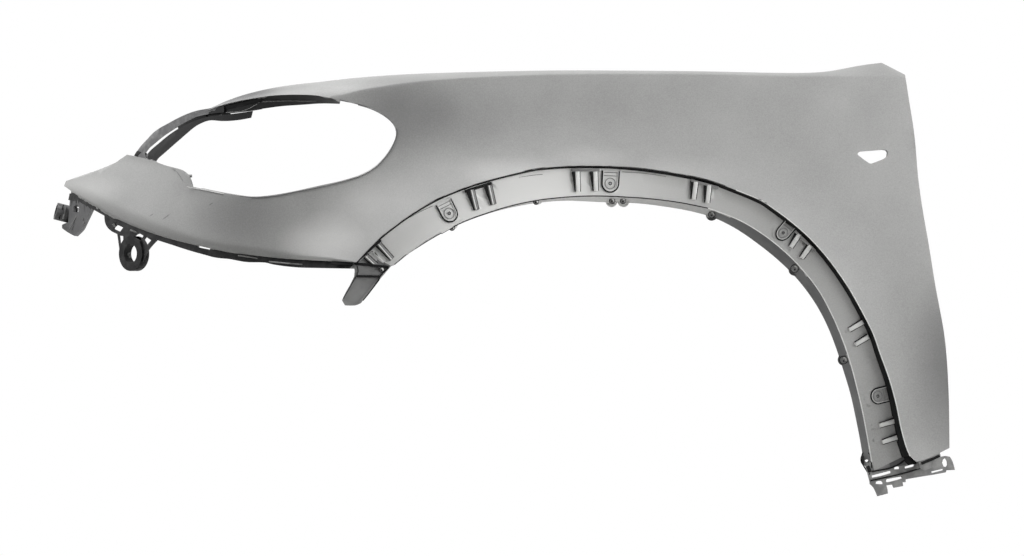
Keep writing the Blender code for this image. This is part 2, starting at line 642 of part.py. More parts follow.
def roll_top(bm, chains, rows, layer):
    """The top surface from the ridge to the bonnet joint, its gutter and bonnet flange."""
    ridge = rows["ridge"]
    front_line = evenly(UPPER_LIP_LINE, TIP_PITCH)
    front = [bm.verts.new(on_skin(*point)) for point in front_line[1:]]
    feet = chains["ridge"] + front_line[1:]
    row = ridge + front
    layers = [[] for _ in TOP_ROW_SHARES]
    for point in feet:
        base = on_skin(*point)
        u = min(point[0], TOP_EDGE_PX[0][0])
        rim = top_edge(u) - ORIGIN
        for index, (inboard, rise) in enumerate(TOP_ROW_SHARES):
            layers[index].append(Vector((base.x + (rim.x - base.x) * inboard,
                                         base.y + (rim.y - base.y) * inboard,
                                         base.z + (rim.z - base.z) * rise)))
    rim_row = add_strip(bm, row, layers, 1.0, layer)
    for near, far in zip(front, front[1:]):
        bm.edges.get((near, far))[layer] = 0.0
    reach = sum(1 for point in feet if point[0] > GUTTER_START_PX)
    gutter = trimmed(rim_row[:reach], RELIEF)
    wall = [vert.co + Vector((0, GUTTER_LEAN, -GUTTER_DEPTH)) for vert in gutter]
    flange = [point + Vector((0, HOOD_FLANGE, 0)) for point in wall]
    corner = add_strip(bm, gutter, [wall], EDGE_ROUND / RIDGE_ROUND, layer)
    add_strip(bm, corner, [flange], 0.0, layer)
    return front


def hang_brow(bm, chains, rows, front, layer):
    """The flange under the upper lip of the lamp opening."""
    lamp = rows["lamp"]
    upper = [point for point in chains["lamp"] if point[1] < LAMP_MIDDLE_PX]
    count = sum(1 for point in upper if point[0] < BROW_END_PX)
    front_line = evenly(UPPER_LIP_LINE, TIP_PITCH)[1:]
    reach = sum(1 for point in front_line if point[0] > BROW_START_PX)
    row = list(reversed(front[:reach])) + lamp[:count]
    brow = curve_through(BROW_PX)
    line = list(reversed(front_line[:reach])) + chains["lamp"][:count]
    points = []
    for point in line:
        depth = skin_depth(*point) + BROW_DEPTH
        points.append(place(point[0], height_at(brow, point[0]), depth))
    add_strip(bm, row, [points], 0.0, layer)
    return count


def build_sheet(collection):
    """The whole open surface of the moulding, which the wall then thickens inboard."""
    bm = bmesh.new()
    layer = bm.edges.layers.float.new("bevel_weight_edge")
    chains, rows = build_skin(bm)
    curl_lip(bm, chains, rows, layer)
    fold_arch(bm, chains, rows, layer)
    front = roll_top(bm, chains, rows, layer)
    count = hang_brow(bm, chains, rows, front, layer)
    fold_inboard(bm, trimmed(rows["door"], RELIEF), DOOR_FLANGE, 0.0, layer)
    fold_inboard(bm, trimmed(rows["foot"], RELIEF), FOOT_FLANGE, 0.0, layer)
    fold_inboard(bm, trimmed(rows["lamp"][count:], RELIEF), LAMP_FLANGE, LAMP_LEAN_SHARE, layer)
    fold_inboard(bm, trimmed(rows["nose_top"], RELIEF), NOSE_FLANGE, 0.0, layer)
    fold_inboard(bm, trimmed(rows["brow"], RELIEF), NOSE_FLANGE, 0.0, layer)
    bmesh.ops.remove_doubles(bm, verts=bm.verts[:], dist=SEAM)
    bmesh.ops.dissolve_degenerate(bm, edges=bm.edges[:], dist=SEAM)
    return link("fender_panel", bm, collection)


def thicken(panel):
    wall = panel.modifiers.new("wall", "SOLIDIFY")
    wall.thickness = WALL
    wall.offset = -1.0
    wall.use_even_offset = True
    wall.use_rim = True
    rounds = panel.modifiers.new("rounded folds", "BEVEL")
    rounds.limit_method = "WEIGHT"
    rounds.width = RIDGE_ROUND
    rounds.segments = 2
    flat = panel.modifiers.new("facets", "TRIANGULATE")
    flat.quad_method = "SHORTEST_DIAGONAL"


def join_all(panel, collection, operation):
    boolean = panel.modifiers.new(operation.lower(), "BOOLEAN")
    boolean.operation = operation
    boolean.operand_type = "COLLECTION"
    boolean.collection = collection
    boolean.solver = "EXACT"


def draped(name, outline, depth_of, thickness, collection, pitch=DRAPE_PX):
    """A plate with a given outline in the view, bent to a depth and thickened inboard."""
    bm = bmesh.new()
    face = bm.faces.new([bm.verts.new((point[0], -point[1], 0)) for point in outline])
    cut_grid(bm, {face}, pitch, across=False)
    for vert in bm.verts:
        u, v = vert.co.x, -vert.co.y
        vert.co = place(u, v, depth_of(u, v))
    pushed = bmesh.ops.extrude_face_region(bm, geom=bm.faces[:])
    moved = [item for item in pushed["geom"] if isinstance(item, bmesh.types.BMVert)]
    bmesh.ops.translate(bm, verts=moved, vec=(0, thickness, 0))
    bmesh.ops.triangulate(bm, faces=bm.faces[:])
    bmesh.ops.recalc_face_normals(bm, faces=bm.faces[:])
    return hide_tool(link(name, bm, collection))


def cylinder(name, radius, length, matrix, collection, sides):
    bm = bmesh.new()
    bmesh.ops.create_cone(bm, cap_ends=True, segments=sides, radius1=radius, radius2=radius,
                          depth=length, matrix=matrix)
    return hide_tool(link(name, bm, collection))


def box(name, size, matrix, collection):
    bm = bmesh.new()
    scale = Matrix.Diagonal((*size, 1))
    bmesh.ops.create_cube(bm, size=1, matrix=matrix @ scale)
    return hide_tool(link(name, bm, collection))


def facing(point, direction):
    """A frame whose Z looks along a direction."""
    turn = Vector(direction).to_track_quat("Z", "Y").to_matrix().to_4x4()
    return Matrix.Translation(point) @ turn


def rib(name, angle, collection):
    """A round-ended rib across the band, half sunk in it."""
    start, end = (band_point(angle, share) for share in RIB_SHARES)
    length = (end - start).length
    middle = band_frame(angle, sum(RIB_SHARES) / 2)
    bm = bmesh.new()
    ring = [(RIB_RADIUS * wide, length / 2 - RIB_RADIUS * back) for wide, back in RIB_END_SHARES]
    profile = [*ring, *[(radius, -along) for radius, along in reversed(ring)]]
    verts = [bm.verts.new((radius, along, 0)) for radius, along in profile]
    edges = [bm.edges.new(pair) for pair in zip(verts, verts[1:])]
    bmesh.ops.spin(bm, geom=verts + edges, cent=(0, 0, 0), axis=(0, 1, 0),
                   angle=2 * math.pi, steps=RIB_SIDES, use_merge=True)
    bmesh.ops.holes_fill(bm, edges=bm.edges[:])
    for vert in bm.verts:
        vert.co.z *= (RIB_RISE if vert.co.z > 0 else WALL / 2) / RIB_RADIUS
    bmesh.ops.transform(bm, verts=bm.verts[:], matrix=middle)
    bmesh.ops.triangulate(bm, faces=bm.faces[:])
    bmesh.ops.recalc_face_normals(bm, faces=bm.faces[:])
    return hide_tool(link(name, bm, collection))


def clip_pad(name, angle, collection, cutters):
    """A raised tongue that ends round, with a disc and a dimple for a clip."""
    top = (band_point(angle, PAD_SHARES[0]) - band_point(angle, PAD_SHARES[1])).length
    middle = band_frame(angle, PAD_SHARES[1])
    bm = bmesh.new()
    half = PAD_WIDTH / 2
    outline = [(half, top), (-half, top)]
    for step in range(TONGUE_STEPS + 1):
        turn = math.pi + math.pi * step / TONGUE_STEPS
        outline.append((half * math.cos(turn), half * math.sin(turn)))
    face = bm.faces.new([bm.verts.new((x, y, -WALL / 2)) for x, y in outline])
    pushed = bmesh.ops.extrude_face_region(bm, geom=[face])
    moved = [item for item in pushed["geom"] if isinstance(item, bmesh.types.BMVert)]
    bmesh.ops.translate(bm, verts=moved, vec=(0, 0, PAD_RISE + WALL / 2))
    bmesh.ops.transform(bm, verts=bm.verts[:], matrix=middle)
    bmesh.ops.recalc_face_normals(bm, faces=bm.faces[:])
    hide_tool(link(name, bm, collection))
    raise_disc = middle @ Matrix.Translation((0, 0, (DISC_RISE - WALL / 2) / 2))
    cylinder(name + "_disc", DISC_RADIUS, DISC_RISE + WALL / 2, raise_disc, collection, DISC_SIDES)
    dimple = middle @ Matrix.Translation((0, 0, DISC_RISE))
    cylinder(name + "_dimple", DIMPLE_RADIUS, DISC_RISE, dimple, cutters, DIMPLE_SIDES)


def fit_band(features, cutters):
    for index, angle in enumerate(RIB_ANGLES):
        rib(f"rib_{index + 1}", angle, features)
    for index, angle in enumerate(PAD_ANGLES):
        clip_pad(f"clip_pad_{index + 1}", angle, features, cutters)
    for index, angle in enumerate(SLOT_ANGLES):
        frame = band_frame(angle, 0) @ Matrix.Translation((0, 0, SLOT_HEIGHT / 2))
        box(f"slot_{index + 1}", (SLOT_LENGTH, WALL * 4, SLOT_HEIGHT), frame, cutters)
    for index, (angle, out) in enumerate(zip(LUG_ANGLES, LUG_OUT_SHARES)):
        radius = radius_at(RETURN_LINE, angle) + LUG_RADIUS * out / PIXEL
        share = (RETURN_ANGLES[0] - angle) / (RETURN_ANGLES[0] - RETURN_ANGLES[1])
        depth = arch_rows(share)[3].y + ORIGIN.y - LUG_WALL
        frame = facing(place(*at_angle(radius, angle), depth), (0, -1, 0))
        cylinder(f"lug_{index + 1}", LUG_RADIUS, LUG_WALL, frame, features, LUG_SIDES)
        cylinder(f"lug_hole_{index + 1}", LUG_HOLE, RETURN_DEPTH, frame, cutters, HOLE_SIDES)


def fit_bolt_pads(features, cutters):
    for index, u in enumerate(BOLT_PADS_PX):
        centre = hood_flange_point(u, HOOD_FLANGE / 2) - ORIGIN
        height = BOLT_PAD_RISE + BOLT_PAD_ROOT
        middle = Matrix.Translation(centre + Vector((0, 0, BOLT_PAD_RISE - height / 2)))
        box(f"bolt_pad_{index + 1}", (BOLT_PAD_LENGTH, BOLT_PAD_WIDTH, height), middle, features)
        hole = Matrix.Translation(centre + Vector((BOLT_OFFSET, 0, 0)))
        cylinder(f"bolt_hole_{index + 1}", BOLT_HOLE, height + 2 * OVERRUN, hole, cutters, BOLT_SIDES)


def behind_skin(setback):
    return lambda u, v: skin_depth(u, v) + setback


def cut_window(name, outline, depth_of, thickness, cutters):
    draped(name, outline, lambda u, v: depth_of(u, v) - OVERRUN, thickness + 2 * OVERRUN, cutters)


def fit_nose_brackets(features, cutters):
    """The bumper rail, the ring lug and the screw boss under the nose."""
    rail = behind_skin(RAIL_SETBACK)
    lip = curve_through(LIP_PX)
    seam = [(u, height_at(lip, u) - WALL / 2 / PIXEL) for u in RAIL_SEAM_PX]
    draped("bumper_rail", seam + RAIL_PX, rail, RAIL_WALL, features, RAIL_DRAPE_PX)
    cut_window("rail_slit", RAIL_SLIT_PX, rail, RAIL_WALL, cutters)
    draped("rail_block", BLOCK_PX, rail, RAIL_WALL * 2, features)
    web = behind_skin(RAIL_SETBACK + RAIL_WALL / 2)
    draped("ring_web", WEB_PX, web, RAIL_WALL, features, WEB_DRAPE_PX)
    for index, outline in enumerate(WEB_WINDOWS_PX):
        cut_window(f"web_window_{index + 1}", outline, web, RAIL_WALL, cutters)
    centre = on_skin(*RING_PX, RAIL_SETBACK + RING_WIDTH / 2)
    ring = facing(centre, (-math.sin(RING_TURN), -math.cos(RING_TURN), 0))
    cylinder("ring", RING_RADIUS, RING_WIDTH, ring, features, RING_SIDES)
    cylinder("ring_bore", RING_BORE, RING_WIDTH * 3, ring, cutters, BORE_SIDES)
    boss = behind_skin(RAIL_SETBACK)
    draped("boss_frame", BOX_PX, boss, BOX_DEPTH, features)
    cut_window("boss_window", BOX_WINDOW_PX, boss, BOX_DEPTH, cutters)
    barrel = facing(on_skin(*BARREL_PX, RAIL_SETBACK + BOX_DEPTH / 2), BARREL_DIRECTION)
    cylinder("boss_barrel", BARREL_RADIUS, BARREL_LENGTH, barrel, features, BARREL_SIDES)
    bore = barrel @ Matrix.Translation((0, 0, BARREL_LENGTH / 2))
    cylinder("boss_bore", BARREL_BORE, BARREL_LENGTH, bore, cutters, BARREL_SIDES)


def fit_ribbons(features):
    """The two straps that carry the lamp opening's upper lip from the nose."""
    outer = curve_through(OUTER_RIBBON_PX, 2) + curve_through(OUTER_RIBBON_INNER_PX, 2)
    inner = curve_through(INNER_RIBBON_PX, 2) + curve_through(INNER_RIBBON_INNER_PX, 2)
    draped("brow_web", BROW_WEB_PX, behind_skin(WALL * 2), RIBBON_WALL, features)
    draped("outer_ribbon", outer, behind_skin(RIBBON_SETBACK), RIBBON_WALL, features)
    draped("inner_ribbon", inner, behind_skin(RIBBON_SETBACK + WALL / 4), RIBBON_WALL, features)
    peg = facing(on_skin(*PEG_PX, NOSE_FLANGE / 2), PEG_DIRECTION)
    peg = peg @ Matrix.Translation((0, 0, PEG_LENGTH / 4))
    cylinder("dome_peg", PEG_RADIUS, PEG_LENGTH, peg, features, PEG_SIDES)


def fit_tab(features, cutters):
    """The plate in front of the arch band."""
    front = arch_rows(0.0)[1].y + ORIGIN.y - TAB_WALL / 2
    draped("tab", TAB_PX, lambda u, v: front + TAB_STEP, TAB_WALL, features)
    draped("tab_upper", TAB_UPPER_PX, lambda u, v: front, TAB_WALL, features)
    draped("tab_rib", TAB_RIB_PX, lambda u, v: front + TAB_STEP / 2, TAB_RIB_DEPTH, features)
    hole = facing(place(*TAB_HOLE_PX, front), (0, -1, 0))
    cylinder("tab_hole", TAB_HOLE_RADIUS, TAB_WALL * 3, hole, cutters, HOLE_SIDES)


def fit_foot(features, cutters):
    """The bracket below the band's rear end, which bolts to the sill."""
    depth = arch_rows(1.0)[2].y + ORIGIN.y
    shelf = depth + WALL / 4
    plate = shelf + FOOT_STEP
    draped("foot_shelf", FOOT_SHELF_PX, lambda u, v: shelf, FOOT_WALL, features)
    draped("foot_plate", FOOT_PLATE_PX, lambda u, v: plate, FOOT_WALL, features)
    skin = skin_depth(*FOOT_PX[3])
    draped("foot_wall", FOOT_WALL_PX, lambda u, v: skin + WALL / 2, plate - skin, features)
    for index, outline in enumerate(FOOT_WINDOWS_PX):
        cut_window(f"foot_window_{index + 1}", outline, lambda u, v: shelf,
                   FOOT_WALL + FOOT_STEP, cutters)


def widened(outline, grow):
    """The outline moved outward by a distance in metres."""
    centre = sum((Vector(point) for point in outline), Vector((0, 0))) / len(outline)
    return [tuple(Vector(point) + (Vector(point) - centre).normalized() * grow / PIXEL)
            for point in outline]


def fit_marker_hole(features, cutters):
    """The side marker's opening and the collar behind it."""
    collar = widened(MARKER_PX, MARKER_WALL)
    draped("marker_collar", collar, behind_skin(WALL / 2), MARKER_DEPTH, features)
    cut_window("marker_hole", MARKER_PX, behind_skin(0.0), MARKER_DEPTH + WALL, cutters)


def primer():
    material = bpy.data.materials.new("primed_plastic")
    material.use_nodes = True
    shader = material.node_tree.nodes["Principled BSDF"]
    shader.inputs["Base Color"].default_value = (0.32, 0.32, 0.32, 1)
    shader.inputs["Roughness"].default_value = 0.55
    shader.inputs["Metallic"].default_value = 0.0
    return material


def main():
    clear_scene()
    parts = new_collection("car_fender")
    features = new_collection("moulded_features")
    cutters = new_collection("cutters")
    panel = build_sheet(parts)
    thicken(panel)
    fit_band(features, cutters)
    fit_bolt_pads(features, cutters)
    fit_nose_brackets(features, cutters)
    fit_ribbons(features)
    fit_tab(features, cutters)
    fit_foot(features, cutters)
    fit_marker_hole(features, cutters)
    join_all(panel, features, "UNION")
    join_all(panel, cutters, "DIFFERENCE")
    panel.data.materials.append(primer())


main()
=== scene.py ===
import math

import bmesh
import bpy
from mathutils import Matrix, Vector
from mathutils.bvhtree import BVHTree


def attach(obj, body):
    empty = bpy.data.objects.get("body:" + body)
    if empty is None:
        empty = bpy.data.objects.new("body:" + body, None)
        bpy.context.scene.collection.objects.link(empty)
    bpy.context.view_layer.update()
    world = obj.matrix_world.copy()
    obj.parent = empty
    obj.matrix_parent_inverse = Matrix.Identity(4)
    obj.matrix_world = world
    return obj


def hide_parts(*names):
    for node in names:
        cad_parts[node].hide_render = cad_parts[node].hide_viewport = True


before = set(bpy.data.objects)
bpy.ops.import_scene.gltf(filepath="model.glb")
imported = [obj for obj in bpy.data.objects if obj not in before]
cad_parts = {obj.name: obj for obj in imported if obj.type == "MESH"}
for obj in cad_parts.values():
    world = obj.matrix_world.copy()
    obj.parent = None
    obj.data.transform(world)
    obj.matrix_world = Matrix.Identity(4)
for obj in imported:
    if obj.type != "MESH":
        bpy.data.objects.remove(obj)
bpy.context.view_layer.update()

# The photograph looks straight at the outer side, so the camera and all picture places share this.
view = {
    "eyePixel": (512.0, 278.0),
    "imageWidth": 1024,
    "metresPerPixel": 0.00129983,   # at the side plane of the panel
    "distance": 2.2,                # from the eye to that plane
    "sidePlane": (-0.065584, -0.128556, -0.271514),
    "sensor": 36.0,
}
eye = Vector(view["sidePlane"]) - Vector((0, view["distance"], 0))


def pixelOf(point):
    scale = view["distance"] / ((point.y - eye.y) * view["metresPerPixel"])
    return (view["eyePixel"][0] + (point.x - eye.x) * scale,
            view["eyePixel"][1] - (point.z - eye.z) * scale)


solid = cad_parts["fender_panel"].data
solidTree = BVHTree.FromPolygons([vert.co for vert in solid.vertices],
                                 [list(face.vertices) for face in solid.polygons])


def onPanel(u, v):    # the place on the solid that shows at a picture place, or None
    scale = view["metresPerPixel"] / view["distance"]
    across, up = (u - view["eyePixel"][0]) * scale, (view["eyePixel"][1] - v) * scale
    return solidTree.ray_cast(eye, Vector((across, 1, up)).normalized())[0]


def atDepth(u, v, depth):
    scale = view["metresPerPixel"] * (depth - eye.y) / view["distance"]
    return Vector((eye.x + (u - view["eyePixel"][0]) * scale, depth,
                   eye.z - (v - view["eyePixel"][1]) * scale))


# Small mouldings on the arch band. X runs rearward along the band, Y out to the step, Z off its face.
def placedOnBand(here, up, out):
    up, out = Vector(up).normalized(), Vector(out).normalized()
    along = up.cross(out)
    up = out.cross(along)
    turn = Matrix((along, up, out)).transposed().to_4x4()
    return Matrix.Translation(here) @ turn


def insideOutline(outline, spot):
    u, v = spot
    found = False
    for (ua, va), (ub, vb) in zip(outline, outline[1:] + outline[:1]):
        if (va > v) != (vb > v) and u < ua + (v - va) * (ub - ua) / (vb - va):
            found = not found
    return found


def linked(name, data):
    made = bpy.data.objects.new(name, data)
    bpy.context.scene.collection.objects.link(made)
    return made


def activate(shape):    # the one selected and active piece, as the operators need it
    for thing in bpy.context.selected_objects:
        thing.select_set(False)
    shape.select_set(True)
    bpy.context.view_layer.objects.active = shape


def linear(hexText):
    values = [int(hexText[i:i + 2], 16) / 255 for i in (1, 3, 5)]
    return tuple(c / 12.92 if c <= 0.04045 else ((c + 0.055) / 1.055) ** 2.4 for c in values) + (1,)


def addNode(tree, kind, settings=None, inputs=None):
    node = tree.nodes.new(kind)
    for name, value in (settings or {}).items():
        setattr(node, name, value)
    for name, value in (inputs or {}).items():
        if isinstance(value, bpy.types.NodeSocket):
            tree.links.new(value, node.inputs[name])
        else:
            node.inputs[name].default_value = value
    return node


def startMaterial(name):
    material = bpy.data.materials.new(name)
    material.use_nodes = True
    tree = material.node_tree
    tree.nodes.clear()
    shader = addNode(tree, "ShaderNodeBsdfPrincipled")
    addNode(tree, "ShaderNodeOutputMaterial", inputs={"Surface": shader.outputs[0]})
    place = addNode(tree, "ShaderNodeTexCoord").outputs["Object"]
    return material, tree, shader, place


def noise(tree, place, size, detail):
    return addNode(tree, "ShaderNodeTexNoise", inputs={
        "Vector": place, "Scale": 1 / size, "Detail": detail}).outputs[0]


def mixColours(tree, share, first, second):
    return addNode(tree, "ShaderNodeMix", {"data_type": "RGBA"}, {0: share, 6: first, 7: second}).outputs[2]


def keptOnMesh(tree, name):
    return addNode(tree, "ShaderNodeAttribute", {"attribute_name": name}).outputs["Fac"]


def grainBump(tree, shader, grain, depth):
    bump = addNode(tree, "ShaderNodeBump", inputs={"Height": grain, "Distance": depth, "Strength": 1.0})
    tree.links.new(bump.outputs[0], shader.inputs["Normal"])


# Grey primer sprayed on an injection-moulded nylon blend: a flat, slightly grainy grey that
# thins out to the black plastic where the spray gun could not reach; that darkening in recesses is also
# painted shade.
primer = {
    "light": "#acacab",
    "dark": "#959594",
    # the pale tone is laid on as painted light and the next one as painted shade
    "pale": "#fdfdfb",
    "shadeTone": "#4a4a4b",
    "bare": "#2b2b2c",
    "scuff": "#5a5a59",
    "roughness": (0.46, 0.56),
    "cloudSize": 0.09,
    "grainSize": 0.0016,    # real orange peel is about 0.8 mm, drawn coarser so that it shows
    "grainDepth": 0.00007,
    "grainShare": 1.2,      # beside the clouds' share of one
    "tonesAt": (0.34, 0.76),
    "ior": 1.5,
    "scuffs": [((151.5, 215), 26, (0.0055, 0.0012)), ((166.5, 216.6), 33, (0.0105, 0.0014)),
               ((211, 204), 30, (0.0050, 0.0011))],    # picture place, slant, half length and half width
    "scuffGrain": 0.002,
    "scuffAmount": (0.06, 0.34),
    "scuffDepth": 0.7,
    "sprayAndShade": (0.04, 0.30),
    "speckleSize": 0.004,
    "speckleShare": 0.10,
}


def primerMaterial(name, light, dark, settings):
    material, tree, shader, place = startMaterial(name)
    clouds = noise(tree, place, settings["cloudSize"], 3)
    grain = noise(tree, place, settings["grainSize"], 2)
    both = addNode(tree, "ShaderNodeMath", {"operation": "MULTIPLY_ADD"},
                   {0: grain, 1: settings["grainShare"], 2: clouds})
    halved = addNode(tree, "ShaderNodeMath", {"operation": "MULTIPLY"}, {0: both.outputs[0], 1: 0.5})
    tone = addNode(tree, "ShaderNodeValToRGB", inputs={"Fac": halved.outputs[0]})
    for element, position, shade in zip(tone.color_ramp.elements, settings["tonesAt"], (dark, light)):
        element.position = position
        element.color = linear(shade)
    colour = tone.outputs[0]
    for scuff in settings["scuffs"]:
        colour = addScuff(tree, place, colour, scuff, settings)
    # painted light and painted shade, and the gun's reach, are kept on the mesh as attributes
    colour = mixColours(tree, keptOnMesh(tree, "paintedLight"), colour, linear(settings["pale"]))
    colour = mixColours(tree, keptOnMesh(tree, "paintedShade"), colour, linear(settings["shadeTone"]))
    patchy = addNode(tree, "ShaderNodeMath", {"operation": "MULTIPLY_ADD"}, {
        0: noise(tree, place, settings["speckleSize"], 4), 1: settings["speckleShare"],
        2: keptOnMesh(tree, "sprayAndShade")})
    least, most = (reach + settings["speckleShare"] / 2 for reach in settings["sprayAndShade"])
    cover = addNode(tree, "ShaderNodeMapRange", inputs={
        "Value": patchy.outputs[0], "From Min": least, "From Max": most})
    colour = mixColours(tree, cover.outputs[0], linear(settings["bare"]), colour)
    tree.links.new(colour, shader.inputs["Base Color"])
    least, most = settings["roughness"]
    rough = addNode(tree, "ShaderNodeMapRange", inputs={"Value": clouds, "To Min": least, "To Max": most})
    tree.links.new(rough.outputs[0], shader.inputs["Roughness"])
    shader.inputs["IOR"].default_value = settings["ior"]
    grainBump(tree, shader, grain, settings["grainDepth"])
    return material


def addScuff(tree, place, colour, scuff, settings):    # a short broken rub mark, longer than wide
    spot, slant, (long, wide) = scuff
    turned = addNode(tree, "ShaderNodeMapping", {"vector_type": "TEXTURE"}, {
        "Vector": place, "Location": onPanel(*spot), "Rotation": (0, -math.radians(slant), 0),
        "Scale": (long, long, wide)})
    away = addNode(tree, "ShaderNodeVectorMath", {"operation": "LENGTH"}, {0: turned.outputs[0]})
    near = addNode(tree, "ShaderNodeMapRange", inputs={
        "Value": away.outputs["Value"], "From Min": 0.0, "From Max": 1.0, "To Min": 1.0, "To Max": 0.0})
    rubbed = addNode(tree, "ShaderNodeMath", {"operation": "MULTIPLY"}, {
        0: near.outputs[0], 1: noise(tree, place, settings["scuffGrain"], 3)})
    least, most = settings["scuffAmount"]
    mark = addNode(tree, "ShaderNodeMapRange", inputs={
        "Value": rubbed.outputs[0], "From Min": least, "From Max": most, "To Max": settings["scuffDepth"]})
    return mixColours(tree, mark.outputs[0], colour, linear(settings["scuff"]))


# Bare black nylon with a dusting of primer: what the gun missed on the rail, the straps and
# the lugs stays near black, with a soft sheen and paler dust in soft patches.
bareNylon = {
    "dark": "#151516",
    "dusted": "#3d3d3d",
    "Roughness": 0.5,
    "IOR": 1.53,
    "Specular IOR Level": 0.14,    # the moulded grain breaks up most of the gloss
    "dustSize": 0.012,
    "grainSize": 0.0012,
    "grainDepth": 0.00005,
    "dustAmount": (0.42, 0.78),
}


def nylonMaterial(name, settings):
    material, tree, shader, place = startMaterial(name)
    dust = noise(tree, place, settings["dustSize"], 5)
    grain = noise(tree, place, settings["grainSize"], 2)
    least, most = settings["dustAmount"]
    amount = addNode(tree, "ShaderNodeMapRange", inputs={"Value": dust, "From Min": least, "From Max": most})
    colour = mixColours(tree, amount.outputs[0], linear(settings["dark"]), linear(settings["dusted"]))
    tree.links.new(colour, shader.inputs["Base Color"])
    for socket in ("Roughness", "IOR", "Specular IOR Level"):
        shader.inputs[socket].default_value = settings[socket]
    grainBump(tree, shader, grain, settings["grainDepth"])
    return material


tabNylon = dict(bareNylon, dark="#909090", dusted="#a4a4a3", dustSize=0.02)
footNylon = dict(bareNylon, dark="#7d7d7d", dusted="#9c9c9b", dustAmount=(0.35, 0.65))
strapNylon = dict(bareNylon, dark="#6e6e6f", dusted="#8a8a8a", dustSize=0.008)
# the straps' nylon darkened to near black: painted shade under the lamp opening's upper lip
shadedStrapNylon = dict(bareNylon, dark="#101011", dusted="#1e1e1e", dustSize=0.008)
# bare nylon made darker still: painted shade in the step, the gaps, folds and hollows
shadeNylon = dict(bareNylon, dark="#0c0c0d", dusted="#1c1c1c")
flangeNylon = dict(bareNylon, dark="#606061", dusted="#727272", dustSize=0.03)


# The finishes by number, which is the order of the skin's material slots
greyPrimer, bareBlack, strapBlack, tabGrey, footGrey, stepShade, paintedHighlight, flangeGrey, shadedStrapBlack = range(9)
finishes = [
    primerMaterial("greyPrimerOnNylon", primer["light"], primer["dark"], primer),
    nylonMaterial("bareBlackNylon", bareNylon),
    nylonMaterial("strapBlackNylon", strapNylon),
    nylonMaterial("tabGreyNylon", tabNylon),
    nylonMaterial("footGreyNylon", footNylon),
    nylonMaterial("paintedShadeNylon", shadeNylon),
    # near-white primer: painted highlight on the fold beads, rims, glints, lug lips and the pale clip bars
    primerMaterial("paintedHighlightPrimer", "#e9e9e7", "#d6d6d4", dict(primer, scuffs=[])),
    nylonMaterial("darkGreyFlangeNylon", flangeNylon),
    nylonMaterial("paintedShadeStrapNylon", shadedStrapNylon),
]


